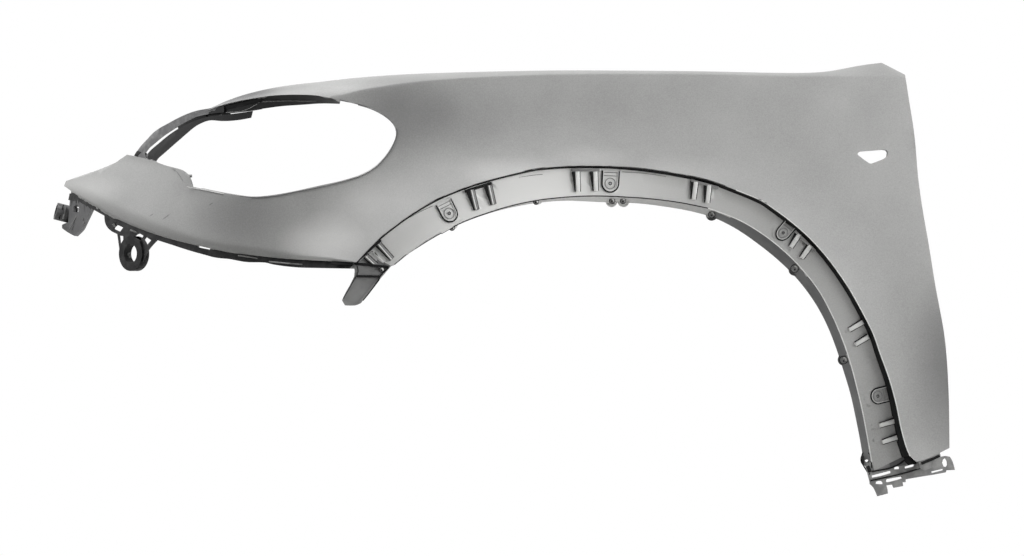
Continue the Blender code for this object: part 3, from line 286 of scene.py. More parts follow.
# The panel: a merged copy of the solid, made smooth, with its finishes given out by place
panel = {
    "mergeWithin": 0.00002,
    "creaseFrom": 34.0,
    "sharpFrom": 34.0,
    "quadAngles": (12, 40),    # how flat and how square two triangles have to be to become one face
    "paintedPatches": [    # picture place, reach along and up, and the amount: painted light where above nought, painted shade where below
        ((322, 243), (50, 30), 0.42), ((350, 214), (45, 40), 0.20), ((392, 196), (50, 28), 0.17),
        ((450, 172), (60, 24), 0.12), ((512, 172), (60, 20), 0.24), ((590, 158), (50, 14), 0.12),
        ((680, 176), (70, 24), 0.12), ((86, 188), (46, 20), 0.22), ((236, 214), (60, 50), -0.36),
        ((194, 186), (26, 16), -0.20), ((402, 112), (66, 50), -0.46), ((470, 118), (60, 40), -0.16),
        ((956, 365), (56, 108), -0.60), ((870, 118), (30, 36), -0.12), ((232, 94), (58, 17), -1.0),
        ((266, 89), (52, 12), -0.30)],
    "guns": [(0, 0), (-50, 10), (50, 10), (-20, 50), (20, 50), (0, -45), (-65, 35), (65, 35),
             (-30, -25), (30, -25)],    # degrees round the panel and up, where the spray comes from; what they can't reach also gets painted shade
    "sprayClear": 0.0003,
    "wheelPixel": (580.0, 506.5),
    "paintedLightInset": 0.8,           # pixels in from the skin's edge, as are the next two
    "paintedLightReach": 60.0,
    "stepReach": (0.9, 11.0),
    "flangeInset": 0.6,         # pixels in from the fold
    "stepTurned": -0.62,        # faces turned more to the eye than this aren't the step's
    "darkFlangeUpTo": 66,     # degrees round the wheel, up to which the return flange is darker grey
    "archPixels": [(356.4, 262.2), (365, 252.7), (380, 238), (394.5, 226.3), (412, 213.8), (432.7, 201.3),
                   (450.3, 193.3), (469.4, 186), (491.4, 179.3), (520.7, 172), (540, 168.2), (568, 166),
                   (596, 165.7), (624, 166.8), (652, 169.6), (680, 174), (708, 180), (736, 190),
                   (760, 199.8), (771, 206.8), (790, 220.8), (809, 237.4), (828.4, 259), (847.6, 286),
                   (860, 307.6), (873, 333), (880, 353), (889.5, 379.4), (896.4, 404.6), (901, 427.6),
                   (905.6, 444.8), (910, 456)],
    "foldPixels": [(441.5, 233.6), (459, 224), (476.7, 216.7), (506, 207.2), (535.4, 200.6), (568, 197),
                   (596, 196), (624, 197), (652, 199), (680, 202.6), (708, 208.2), (736.4, 218.8),
                   (758, 231), (777, 245), (796.5, 263), (815.7, 286), (828.4, 307.6), (841, 335.6),
                   (851, 365), (861, 404.6), (866.6, 433), (871.7, 462)],
    # degrees round the wheel, and how much painted light the band gets there
    "paintedLightTurns": [(137, 0.35), (130, 0.55), (118, 0.8), (105, 1.0), (90, 1.0), (82, 0.72), (74, 0.5),
                  (60, 0.3), (45, 0.2), (28, 0.1), (16, 0.0)],
    "railPixels": [(64, 186.6), (71, 191.6), (86, 201.6), (99.5, 209.6), (116, 219.1), (133, 226.6),
                   (151, 233.6), (174, 240.6), (199, 246.6), (232, 253.6), (260, 256.6), (280, 259),
                   (326, 261.6), (352, 262.2), (352, 285), (40, 300), (40, 190)],
    "browPixels": [(342, 104), (331, 99), (318, 96.4), (295, 95.8), (272, 96.6), (256.5, 99), (241, 101.6),
                   (226, 104), (215, 106.4), (207, 108.4), (196, 109.4), (160, 111), (125, 140),
                   (126, 152.6), (143, 157.2), (156, 161.2), (167, 165.2), (176, 167), (200, 160),
                   (260, 150), (342, 120)],
    "innerStrapPixels": [(157.6, 161.6), (145.6, 157.4), (152, 150.4), (160, 143), (172, 132.5),
                         (188, 122.5), (202, 116), (209, 112), (226, 104.8), (241, 101.2), (256.5, 98.4),
                         (272, 96.2), (295, 95.6), (318, 96.4), (331, 98.8), (342, 102.6), (345, 106),
                         (290, 110), (260, 124), (205, 126), (180, 142), (162, 160)],
    # painted highlight on the ring lug's bore wall
    "borePixels": [(127.6, 252.6), (133.6, 251.6), (133.6, 258.6), (127.6, 259.4)],
    "noseBoxPixels": [(54, 201), (70, 200), (84, 204.5), (94, 210), (90, 240), (62, 241), (54, 228)],
    "tabPixels": [(353, 262.6), (372, 259.4), (384, 262.4), (392, 266), (384, 274.7), (377, 283), (360, 305),
                  (350, 310), (338, 300), (344, 293), (355.4, 274)],
    "footPixels": [(862, 470), (880, 466.5), (905, 460), (910, 457), (914.8, 462.2), (919.4, 463),
                   (930, 458.5), (939.5, 454), (949.5, 449), (962, 449), (962, 502), (860, 502)],
    "outlines": [("borePixels", footGrey), ("noseBoxPixels", flangeGrey), ("railPixels", bareBlack),
                 ("innerStrapPixels", shadedStrapBlack), ("browPixels", strapBlack), ("tabPixels", tabGrey),
                 ("footPixels", footGrey)],
}


# Where the solid's plain ribs and pads stand (place in mm, towards the step, outwards); they are
# taken down on the copy, because the detailed ones further on stand in their stead.
levelled = {
    "between": (0.0004, 0.0055),    # heights over the band that are taken down
    "left": 0.0002,
    "ribs": {
        "half": (0.0056, 0.0150),    # half the width and the length that are taken down
        "places": [
            ((-239.0, -145.9, -247.8), (-0.918, -0.042, 0.394), (0.046, -0.999, 0.002)),
            ((-228.4, -145.4, -237.4), (-0.605, -0.016, 0.796), (0.047, -0.999, 0.013)),
            ((-115.8, -130.7, -170.6), (-0.33, 0.068, 0.941), (0.115, -0.987, 0.112)),
            ((-94.1, -127.5, -163.4), (-0.277, 0.054, 0.959), (0.115, -0.989, 0.088)),
            ((18.1, -116.0, -143.9), (-0.016, -0.02, 1.0), (0.043, -0.999, -0.022)),
            ((41.2, -115.1, -143.6), (0.04, -0.032, 0.999), (0.031, -0.999, -0.033)),
            ((172.2, -114.6, -157.1), (0.332, -0.074, 0.94), (-0.032, -0.997, -0.067)),
            ((191.0, -114.9, -161.7), (0.373, -0.077, 0.924), (-0.045, -0.997, -0.065)),
            ((302.4, -121.8, -224.6), (0.615, -0.117, 0.78), (-0.139, -0.99, -0.039)),
            ((316.5, -123.4, -238.7), (0.651, -0.114, 0.751), (-0.139, -0.99, -0.031)),
            ((378.7, -126.0, -336.1), (0.834, -0.022, 0.551), (0.019, -0.998, -0.067)),
            ((386.3, -124.3, -353.4), (0.859, -0.008, 0.512), (0.044, -0.995, -0.089)),
            ((417.8, -110.3, -463.1), (0.964, -0.008, 0.266), (0.02, -0.994, -0.11)),
            ((421.8, -108.2, -483.0), (0.976, -0.016, 0.219), (0.002, -0.996, -0.095)),
        ],
    },
    "pads": {
        "half": (0.0125, 0.0175),
        "places": [
            ((-146.9, -136.5, -188.7), (-0.455, 0.062, 0.888), (0.107, -0.987, 0.124)),
            ((64.7, -114.3, -148.5), (0.043, -0.039, 0.998), (0.021, -0.999, -0.04)),
            ((286.2, -120.0, -215.5), (0.625, -0.123, 0.771), (-0.138, -0.989, -0.045)),
            ((405.7, -114.9, -428.2), (0.968, 0.014, 0.25), (0.046, -0.991, -0.123)),
        ],
    },
}


def mergedCopy():
    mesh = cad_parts["fender_panel"].data.copy()
    mesh.name = "fenderSkin"
    made = linked("fenderSkin", mesh)
    work = bmesh.new()
    work.from_mesh(mesh)
    bmesh.ops.remove_doubles(work, verts=work.verts[:], dist=panel["mergeWithin"])
    work.to_mesh(mesh)
    work.free()
    return made


def levelUnder(made, frames, wide, long):
    low, high = levelled["between"]
    for matrix in frames:
        back = matrix.inverted()
        for vert in made.data.vertices:
            spot = back @ vert.co
            if abs(spot.x) < wide and abs(spot.y) < long and low < spot.z < high:
                spot.z = levelled["left"]
                vert.co = matrix @ spot


def makeSmooth(made):
    activate(made)
    bpy.ops.object.mode_set(mode="EDIT")
    bpy.ops.mesh.select_all(action="SELECT")
    flat, square = (math.radians(angle) for angle in panel["quadAngles"])
    bpy.ops.mesh.tris_convert_to_quads(face_threshold=flat, shape_threshold=square)
    bpy.ops.object.mode_set(mode="OBJECT")
    work = bmesh.new()
    work.from_mesh(made.data)
    crease = work.edges.layers.float.get("crease_edge") or work.edges.layers.float.new("crease_edge")
    for edge in work.edges:
        if len(edge.link_faces) == 2 and edge.calc_face_angle() > math.radians(panel["creaseFrom"]):
            edge[crease] = 1.0
    work.to_mesh(made.data)
    work.free()
    finer = made.modifiers.new("finer", "SUBSURF")
    finer.levels = 1
    finer.render_levels = 1
    finer.boundary_smooth = "ALL"
    bpy.ops.object.modifier_apply(modifier="finer")


def roundWheel(u, v):    # the turn round the wheel's middle, and how far out, in pixels
    across, up = u - panel["wheelPixel"][0], panel["wheelPixel"][1] - v
    return math.atan2(up, across), math.hypot(across, up)


def awayFromWheel(u, v):    # one pixel's step outwards
    across, down = u - panel["wheelPixel"][0], v - panel["wheelPixel"][1]
    far = math.hypot(across, down)
    return across / far, down / far


def radiusOn(outline, turn):    # how far out an outline lies from the wheel's middle, in pixels
    middleU, middleV = panel["wheelPixel"]
    for (ua, va), (ub, vb) in zip(outline, outline[1:]):
        first = math.atan2(middleV - va, ua - middleU)
        second = math.atan2(middleV - vb, ub - middleU)
        if second <= turn <= first:
            share = (first - turn) / (first - second)
            return math.hypot(ua + (ub - ua) * share - middleU, va + (vb - va) * share - middleV)
    return None


def finishOf(centre, normal):
    spot = pixelOf(centre)
    for outline, finish in panel["outlines"]:
        if insideOutline(panel[outline], spot):
            return finish
    turn, far = roundWheel(*spot)
    edge, fold = radiusOn(panel["archPixels"], turn), radiusOn(panel["foldPixels"], turn)
    nearest, farthest = panel["stepReach"]
    # the step wall: bare black nylon darkened further as painted shade
    if edge and nearest < edge - far < farthest and normal.y > panel["stepTurned"]:
        return stepShade
    # the return flange's rear part is darker grey
    if fold and far < fold - panel["flangeInset"] and turn < math.radians(panel["darkFlangeUpTo"]):
        return flangeGrey
    return greyPrimer


def valueAt(table, place):    # between a table's rows, or the nearer end's value beyond them
    for (placeA, first), (placeB, second) in zip(table, table[1:]):
        if min(placeA, placeB) <= place <= max(placeA, placeB):
            return first + (second - first) * (place - placeA) / (placeB - placeA)
    return min(table[0], table[-1], key=lambda row: abs(row[0] - place))[1]


def paintedLight(point):    # painted light: the band is painted paler over the wheel, and less so rearward
    turn, far = roundWheel(*pixelOf(point))
    edge, degrees = radiusOn(panel["archPixels"], turn), math.degrees(turn)
    if not edge or not edge - panel["paintedLightReach"] <= far <= edge - panel["paintedLightInset"]:
        return 0.0
    return valueAt(panel["paintedLightTurns"], degrees) if degrees <= panel["paintedLightTurns"][0][0] else 0.0


def paintedPatchesAt(point):    # soft patches of painted light and painted shade laid over the skin
    u, v = pixelOf(point)
    total = 0.0
    for (middleU, middleV), (wide, high), amount in panel["paintedPatches"]:
        share = 1 - ((u - middleU) / wide) ** 2 - ((v - middleV) / high) ** 2
        if share > 0:
            total += amount * share ** 1.5
    return total


def keptValues(mesh, name):
    return (mesh.attributes.get(name) or mesh.attributes.new(name, "FLOAT", "POINT")).data


def markPaintedLightAndShade(mesh):    # keeps the painted light and painted shade of every point on the mesh, for the primer to read
    bands, patches = ([depth(vert.co) for vert in mesh.vertices] for depth in (paintedLight, paintedPatchesAt))
    for name, side in (("paintedLight", 1), ("paintedShade", -1)):
        for point, band, patch in zip(keptValues(mesh, name), bands, patches):
            point.value = max(band * side, 0) if band > 0 else max(patch * side, 0)


def towards(around, up):    # a direction by its turn round the panel and its rise, in degrees
    a, b = math.radians(around), math.radians(up)
    return Vector((math.sin(a) * math.cos(b), -math.cos(a) * math.cos(b), math.sin(b)))


def sprayAndShadePanel(made):    # keeps how much of the spray gun's round reaches each point, which also lays painted shade in recesses and under the skin
    work = bmesh.new()
    work.from_mesh(made.data)
    tree = BVHTree.FromBMesh(work)
    directions = [towards(around, up) for around, up in panel["guns"]]
    layer = work.verts.layers.float.new("sprayAndShade")
    reached = {}
    for face in work.faces:
        centre = face.calc_center_median()
        start = centre + face.normal * panel["sprayClear"]
        total = 0.0
        for direction in directions:
            facing = face.normal.dot(direction)
            if facing > 0 and tree.ray_cast(start, direction)[0] is None:
                total += facing
        reached[face] = total / len(directions)
        face.material_index = finishOf(centre, face.normal)
    for vert in work.verts:
        area = sum(face.calc_area() for face in vert.link_faces)
        vert[layer] = sum(reached[face] * face.calc_area() for face in vert.link_faces) / max(area, 1e-12)
    work.to_mesh(made.data)
    work.free()
    markPaintedLightAndShade(made.data)


skin = mergedCopy()
for moulded in ("ribs", "pads"):
    table = levelled[moulded]
    frames = [placedOnBand(Vector(here) / 1000, up, out) for here, up, out in table["places"]]
    levelUnder(skin, frames, *table["half"])
makeSmooth(skin)
skin.data.materials.clear()
for finish in finishes:
    skin.data.materials.append(finish)
sprayAndShadePanel(skin)
activate(skin)
bpy.ops.object.shade_smooth_by_angle(angle=math.radians(panel["sharpFrom"]))
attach(skin, "root")
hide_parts("fender_panel")
print("panel smoothed and given its finishes:", len(skin.data.polygons), "faces")


roundedFrom = 60    # degrees from which an edge of a tube or a ribbon stays sharp


def startShape(name):
    shape = bpy.context.object
    shape.name = name
    activate(shape)
    return shape


def keepPiece(shape, finish, sharpFrom=40):
    for point in keptValues(shape.data, "sprayAndShade"):
        point.value = 1.0    # a small piece gets the whole spray and no painted shade
    markPaintedLightAndShade(shape.data)
    shape.data.materials.clear()
    shape.data.materials.append(finishes[finish])
    activate(shape)
    bpy.ops.object.shade_smooth_by_angle(angle=math.radians(sharpFrom))
    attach(shape, "root")


def copyTo(shape, name, matrix, finish):
    mesh = shape.data.copy()
    mesh.transform(matrix)
    keepPiece(linked(name, mesh), finish)


def selectVerts(shape, test):
    bpy.ops.object.mode_set(mode="OBJECT")
    for part in (*shape.data.polygons, *shape.data.edges):
        part.select = False
    for vert in shape.data.vertices:
        vert.select = test(vert.co)
    bpy.ops.object.mode_set(mode="EDIT")
    bpy.ops.mesh.select_mode(type="VERT")


def bevelledBlock(name, size, round, taper=1.0, lower=1.0):
    wide, long, high = size
    bpy.ops.mesh.primitive_cube_add(size=1, location=(0, 0, high / 2))
    shape = startShape(name)
    shape.scale = (wide, long, high)
    bpy.ops.object.transform_apply(location=True, rotation=True, scale=True)
    selectVerts(shape, lambda co: co.y < 0)
    bpy.ops.transform.resize(value=(taper, 1, lower), center_override=(0, -long / 2, 0))
    selectVerts(shape, lambda co: co.z > high * 0.2)    # the top only, as the foot stays sharp
    bpy.ops.mesh.bevel(offset=round, segments=3, affect="EDGES")
    bpy.ops.object.mode_set(mode="OBJECT")
    return shape


# Clip ribs: a bar that falls towards the return flange, pale as painted light, a dark wedge of
# painted shade on its front side and a thin line of painted shade on the other. The first ones,
# at the arch's front, are mid grey with a painted highlight along the top.
clipRib = {
    "barSize": (0.0061, 0.0272, 0.0046),
    "barRound": 0.0019,
    "barTip": (0.94, 0.7),        # width and height at the tip, as shares
    "shadowWedgeSize": (0.0044, 0.0262, 0.0034),
    "shadowWedgeRound": 0.0004,
    "shadowWedgeTip": (0.25, 0.8),
    "shadowWedgeAt": -0.0030,
    "lineSize": (0.0012, 0.0262, 0.0026),
    "lineRound": 0.0003,
    "lineTip": (0.8, 0.5),
    "lineAt": 0.0034,
    "glintAt": (-0.0008, 0.0024),
    "glintWide": 1.5,
    "dusted": 4,    # how many, counted from the front
    "ends": [    # picture places at the step and at the tip, depth of both in mm, width of the shadow wedge
        ((365.9, 255.6), (376.4, 265.4), (-146.5, -145.4), 0.45),
        ((378.6, 243.6), (392.3, 259.3), (-145.6, -145.2), 0.55),
        ((471.6, 189.8), (476.7, 210.1), (-129.8, -131.6), 1.0),
        ((489.2, 185.4), (493.6, 204.8), (-126.8, -128.2), 1.0),
        ((577.2, 171.4), (577.9, 192.0), (-116.2, -115.7), 1.0),
        ((595.1, 171.4), (595.8, 191.4), (-115.5, -114.7), 1.0),
        ((695.9, 181.2), (693.4, 199.6), (-115.4, -113.7), 1.0),
        ((709.2, 184.7), (707.2, 203.0), (-115.8, -114.1), 1.0),
        ((799.7, 233.8), (790.6, 247.4), (-123.1, -120.6), 0.8),
        ((811.0, 245.2), (801.4, 258.2), (-124.6, -122.2), 0.7),
        ((862.7, 321.8), (848.8, 329.9), (-126.2, -125.7), 0.35),
        ((868.2, 336.4), (855.0, 344.4), (-124.4, -124.2), 0.35),
        ((894.0, 420.8), (879.0, 425.4), (-110.4, -110.2), 0.35),
        ((897.0, 436.8), (882.1, 441.9), (-108.4, -108.0), 0.35),
    ],
}


def fitClipRibs():
    bar, shadowWedge, line = (
        bevelledBlock(f"{part}Start", clipRib[f"{part}Size"], clipRib[f"{part}Round"], *clipRib[f"{part}Tip"])
        for part in ("bar", "shadowWedge", "line"))
    wide, long, _ = clipRib["shadowWedgeSize"]
    narrow = clipRib["shadowWedgeTip"][0]
    for vert in shadowWedge.data.vertices:    # the wedge's straight side lies along the bar
        vert.co.x -= wide / 2 * ((1 + narrow) / 2 + (1 - narrow) / 2 * vert.co.y * 2 / long)
    for number, (near, far, depths, deep) in enumerate(clipRib["ends"], 1):
        near, far = (atDepth(*spot, depth / 1000) for spot, depth in zip((near, far), depths))
        out = levelled["ribs"]["places"][number - 1][2]
        place = placedOnBand((near + far) / 2, near - far, out)
        stretch = (near - far).length / clipRib["barSize"][1]
        dusted = number <= clipRib["dusted"]
        pieces = [(bar, "clipBar", (0, 0), tabGrey if dusted else paintedHighlight, 1),
                  (shadowWedge, "clipShadowWedge", (clipRib["shadowWedgeAt"], 0), stepShade, deep),
                  (line, "clipShadeLine", (clipRib["lineAt"], 0), stepShade, 1)]
        if dusted:
            pieces.append((line, "clipGlint", clipRib["glintAt"], paintedHighlight, clipRib["glintWide"]))
        for start, name, (aside, above), finish, squeeze in pieces:
            slid = place @ Matrix.Translation((aside, 0, above)) @ Matrix.Diagonal((squeeze, stretch, 1, 1))
            copyTo(start, f"{name}{number}", slid, finish)
    for start in (bar, shadowWedge, line):
        bpy.data.objects.remove(start)


# Painted shade in the slots over each pair of ribs, at the foot of the step: dark bars, mid grey on the last
# three
clipSlotShade = {
    "size": (0.037, 0.0034, 0.0046),
    "round": 0.0007,
    "drop": 0.0030,
    "sunk": 0.0006,
    "spots": [    # here in mm, upwards, outwards, finish
        ((-250.4, -147.4, -232.4), (-0.66, 0.05, 0.75), (0.047, -0.999, 0.015), stepShade),
        ((-110.5, -128.1, -151.0), (-0.311, 0.061, 0.948), (0.095, -0.991, 0.095), stepShade),
        ((30.3, -115.9, -127.2), (0, -0.027, 1.0), (0.028, -0.999, -0.027), tabGrey),
        ((187.1, -115.8, -145.7), (0.264, -0.073, 0.962), (-0.037, -0.997, -0.066), tabGrey),
        ((318.2, -124.2, -221.0), (0.698, -0.122, 0.706), (-0.136, -0.99, -0.037), tabGrey),
    ],
}


def fitClipSlotShades():
    shelf = bevelledBlock("clipSlotShadeStart", clipSlotShade["size"], clipSlotShade["round"])
    moved = Matrix.Translation((0, -clipSlotShade["drop"], -clipSlotShade["sunk"]))
    for number, (here, up, out, finish) in enumerate(clipSlotShade["spots"], 1):
        copyTo(shelf, f"clipSlotShade{number}", placedOnBand(Vector(here) / 1000, up, out) @ moved, finish)
    bpy.data.objects.remove(shelf)


# Clip pads: a raised tongue whose border groove is drawn as a dark tube of painted shade with a pale inner
# line of painted highlight, a ringed disc and two lines near the step
clipPad = {
    "halfWidth": 0.0113,
    "legLength": 0.0165,
    "bodyHeight": 0.0013,
    "bodyRound": 0.0005,
    "borderRadius": 0.0010,
    "borderHeight": 0.0011,
    "innerShare": 0.86,
    "innerRadius": 0.00055,
    "innerHeight": 0.0015,
    "ringRadius": 0.0070,
    "ringTube": 0.0005,
    "ringHeight": 0.0014,
    "dimpleRadius": 0.0018,
    "lineAt": (0.0100, 0.0142),
    "lineSize": (0.0009, 0.0016),
    "spots": [    # here in mm, stretch along and across the band; turned like the levelled pads
        ((-146.9, -136.5, -188.0), (0.92, 1.0)),
        ((62.9, -114.3, -147.8), (0.97, 1.0)),
        ((288.3, -120.2, -212.6), (0.78, 0.9)),
        ((412.8, -114.4, -425.8), (0.92, 0.8)),
    ],
}


def thicken(made, thick):
    activate(made)
    wall = made.modifiers.new("wall", "SOLIDIFY")
    wall.thickness = thick
    wall.offset = 0
    bpy.ops.object.modifier_apply(modifier="wall")


def flatShape(name, points, thick, round):
    mesh = bpy.data.meshes.new(name)
    mesh.from_pydata([tuple(point) for point in points], [], [list(range(len(points)))])
    made = linked(name, mesh)
    thicken(made, thick)
    soft = made.modifiers.new("soft", "BEVEL")
    soft.width = round
    soft.segments = 2
    soft.limit_method = "ANGLE"
    bpy.ops.object.modifier_apply(modifier="soft")
    return made


def tubeAlong(name, points, radius, closed=False):
    curve = bpy.data.curves.new(name, "CURVE")
    curve.dimensions = "3D"
    curve.bevel_depth = radius
    curve.bevel_resolution = 3
    curve.use_fill_caps = not closed
    spline = curve.splines.new("POLY")
    spline.points.add(len(points) - 1)
    for knot, point in zip(spline.points, points):
        knot.co = (*point, 1)
    spline.use_cyclic_u = closed
    activate(linked(name, curve))
    bpy.ops.object.convert(target="MESH")
    return bpy.context.object


def fitTube(name, points, radius, finish, closed=False):
    keepPiece(tubeAlong(name, points, radius, closed), finish, roundedFrom)


def fitClipPads():
    half, leg, high = clipPad["halfWidth"], clipPad["legLength"], clipPad["borderHeight"]
    turns = [math.pi * step / 16 for step in range(17)]
    bend = [(half * math.cos(turn), -half * math.sin(turn)) for turn in turns]
    tongue = [(half, leg), *bend, (-half, leg)]
    share = clipPad["innerShare"]
    groove = [(x * share, y * share if y < 0 else y, clipPad["innerHeight"]) for x, y in tongue]
    flat = [(x, y, 0) for x, y in tongue]
    starts = [
        (flatShape("padBodyStart", flat, clipPad["bodyHeight"], clipPad["bodyRound"]), "padBody", greyPrimer),
        (tubeAlong("padBorderShadeStart", [(x, y, high) for x, y in tongue], clipPad["borderRadius"]),
         "padBorderShade", stepShade),
        (tubeAlong("padInnerHighlightStart", groove, clipPad["innerRadius"]), "padInnerHighlight", paintedHighlight)]
    for name, radius, finish in (("padRing", clipPad["ringRadius"], tabGrey),
                                 ("padDimple", clipPad["dimpleRadius"], bareBlack)):
        turns = [math.radians(turn) for turn in range(0, 360, 10)]
        circle = [(radius * math.cos(turn), radius * math.sin(turn), clipPad["ringHeight"]) for turn in turns]
        starts.append((tubeAlong(f"{name}Start", circle, clipPad["ringTube"], closed=True), name, finish))
    thick, high = clipPad["lineSize"]
    cross = bevelledBlock("padCrossStart", (2 * half, thick, high), thick / 3)
    for number, (here, stretch) in enumerate(clipPad["spots"], 1):
        up, out = levelled["pads"]["places"][number - 1][1:]
        place = placedOnBand(Vector(here) / 1000, up, out) @ Matrix.Diagonal((*stretch, 1, 1))
        for start, name, finish in starts:
            copyTo(start, f"{name}{number}", place, finish)
        for line, y in enumerate(clipPad["lineAt"], 1):
            copyTo(cross, f"padCross{number}_{line}", place @ Matrix.Translation((0, y, 0)), tabGrey)
    for start in [start for start, _, _ in starts] + [cross]:
        bpy.data.objects.remove(start)


# Beads along the folds of the moulding: painted highlight where a fold would catch the light, and painted
# shade on its run over the wheel
foldBead = {
    "radius": 0.0007,
    "runs": [    # name, outline, picture columns, how far outside the fold its depth is found, proud, finish
        ("bandFoldShade", "foldPixels", (0, 710), 1.4, 0, stepShade),
        ("bandFoldBead", "foldPixels", (706, 1024), 1.4, 0, paintedHighlight),
        ("skinEdgeBead", "archPixels", (734, 1024), 0.9, 0.0005, paintedHighlight),
    ],
}


def rounded(outline, steps):    # a picture curve through its points without corners
    ends = [outline[0], *outline, outline[-1]]
    curve = []
    for a, b, c, d in zip(ends, ends[1:], ends[2:], ends[3:]):
        for step in range(steps):
            t = step / steps
            curve.append(tuple(0.5 * (2 * q + (r - p) * t + (2 * p - 5 * q + 4 * r - s) * t ** 2
                                      + (3 * q - p - 3 * r + s) * t ** 3)
                               for p, q, r, s in zip(a, b, c, d)))
    return curve + [outline[-1]]


def evened(depths, reach=4):    # the middle depth of each one's neighbours, so that no knot sticks out
    windows = [sorted(depths[max(0, place - reach):place + reach + 1]) for place in range(len(depths))]
    return [window[len(window) // 2] for window in windows]


def liftedPath(spots, lift):    # towards the eye
    depths = evened([depth for _, _, depth in spots])
    return [atDepth(u, v, depth - lift) for (u, v, _), depth in zip(spots, depths)]


def surfacePath(outline, inset, lift, steps):    # just off the panel, with depths found a little outside
    spots = []
    for u, v in rounded(outline, steps):
        outU, outV = awayFromWheel(u, v)
        hit = onPanel(u + outU * inset, v + outV * inset)
        if hit:
            spots.append((u, v, hit.y))
    return liftedPath(spots, lift)


def fitFoldBeads():
    for name, outline, (first, last), inset, proud, finish in foldBead["runs"]:
        path = [spot for spot in panel[outline] if first < spot[0] < last]
        fitTube(name, surfacePath(path, inset, proud, 5), foldBead["radius"], finish)


# Painted shade at the foot of the step: a dark ribbon between the skin's edge and the clip band
stepShadowRibbon = {
    # degrees round the wheel, and how many pixels wide the ribbon is there
    "turns": [(136, 1.0), (118, 1.3), (100, 1.7), (90, 2.1), (76, 3.0), (66, 3.5), (52, 4.2), (40, 4.6),
              (28, 5.0), (18, 5.4), (12, 6.2), (8, 7.6), (5.5, 9.0)],
    "overlap": (-0.3, 0.35),    # where the first row lies past the skin's edge, and where its depth is found
    "rows": (0.35, 0.7),        # the rows between, as shares of the width
    "probe": 1.6,
    "proud": 0.0006,
    "wall": 0.0008,
}


def fitStepShadowRibbon():
    columns = [[], [], [], []]
    for u, v in rounded(panel["archPixels"], 4):
        outU, outV = awayFromWheel(u, v)
        wide = valueAt(stepShadowRibbon["turns"], math.degrees(roundWheel(u, v)[0]))
        between = [(wide * share, wide * share) for share in stepShadowRibbon["rows"]]
        row = []
        for inwards, probe in (stepShadowRibbon["overlap"], *between, (wide, wide + stepShadowRibbon["probe"])):
            hit = onPanel(u - outU * probe, v - outV * probe)
            row.append((u - outU * inwards, v - outV * inwards, hit.y if hit else None))
        if all(spot[2] is not None for spot in row):
            for column, spot in zip(columns, row):
                column.append(spot)
    work = bmesh.new()
    rows = [[work.verts.new(point) for point in liftedPath(column, stepShadowRibbon["proud"])] for column in columns]
    for first, second in zip(rows, rows[1:]):
        for a, b, c, d in zip(first, first[1:], second[1:], second):
            work.faces.new((a, b, c, d))
    bmesh.ops.recalc_face_normals(work, faces=work.faces[:])
    mesh = bpy.data.meshes.new("stepShadowRibbon")
    work.to_mesh(mesh)
    work.free()
    made = linked("stepShadowRibbon", mesh)
    thicken(made, stepShadowRibbon["wall"])
    keepPiece(made, stepShade, roundedFrom)


# Screw lugs on the return flange: a grey plug in a dark ring of painted shade, a dark dot of painted shade
# for the hole and a lip with a painted highlight
screwLug = {
    "spots": [((452, 228), 2.6), ((536, 202), 2.6), ((612, 201), 2.8), ((623, 201), 2.8),
              ((711.6, 214.6), 3.4), ((794.6, 268.6), 3.9), ((843.6, 360), 3.9),
              ((381.6, 269.8), 2.4)],    # picture place, radius in pixels
    "proud": 0.001,
    "ringTube": 0.00045,
    "dotRadius": 0.0007,
    "dotProud": 0.0004,
    "dotDrop": 0.25,        # as a share of the radius, like the lip
    "lipTube": 0.0010,
    "lipShare": 0.60,
    "lipProud": 0.0008,
    "lipTurns": (-25, 100),
    "plugDepth": 0.0016,
    "plugRound": 0.3,
}


def arcAt(middle, radius, step, turns=(0, 360)):    # points of a circle that faces the eye
    angles = [math.radians(turn) for turn in range(*turns, step)]
    return [middle + Vector((radius * math.cos(angle), 0, radius * math.sin(angle))) for angle in angles]


def lugMiddle(u, v, radius):    # stands off the nearer half of the flange round a lug
    turns = [math.radians(turn) for turn in range(0, 360, 30)]
    hits = [onPanel(u + radius * math.cos(turn), v + radius * math.sin(turn)) for turn in turns]
    near = sorted(hit.y for hit in hits if hit)[:6]
    return atDepth(u, v, sum(near) / len(near) - screwLug["proud"])


def fitScrewLugs():
    tube, deep = screwLug["ringTube"], screwLug["plugDepth"]
    for number, ((u, v), radius) in enumerate(screwLug["spots"], 1):
        middle = lugMiddle(u, v, radius)
        size = radius * view["metresPerPixel"]
        fitTube(f"lugShadeRing{number}", arcAt(middle, size, 15), tube, stepShade, True)
        lip = arcAt(middle - Vector((0, screwLug["lipProud"], 0)), size * screwLug["lipShare"], 12,
                    screwLug["lipTurns"])
        fitTube(f"lugHighlightLip{number}", lip, screwLug["lipTube"], paintedHighlight)
        bpy.ops.mesh.primitive_cylinder_add(vertices=24, radius=size, depth=deep,
                                            location=middle + Vector((0, deep / 2, 0)),
                                            rotation=(math.radians(90), 0, 0))
        plug = startShape(f"lugPlug{number}")
        bpy.ops.object.mode_set(mode="EDIT")
        bpy.ops.mesh.bevel(offset=deep * screwLug["plugRound"], segments=2, affect="EDGES")
        bpy.ops.object.mode_set(mode="OBJECT")
        bpy.ops.object.transform_apply(location=True, rotation=True, scale=True)
        keepPiece(plug, tabGrey)
        dot = arcAt(middle - Vector((0, screwLug["dotProud"], size * screwLug["dotDrop"])),
                    screwLug["dotRadius"], 45)
        fitTube(f"lugShadeDot{number}", dot, tube, stepShade, True)
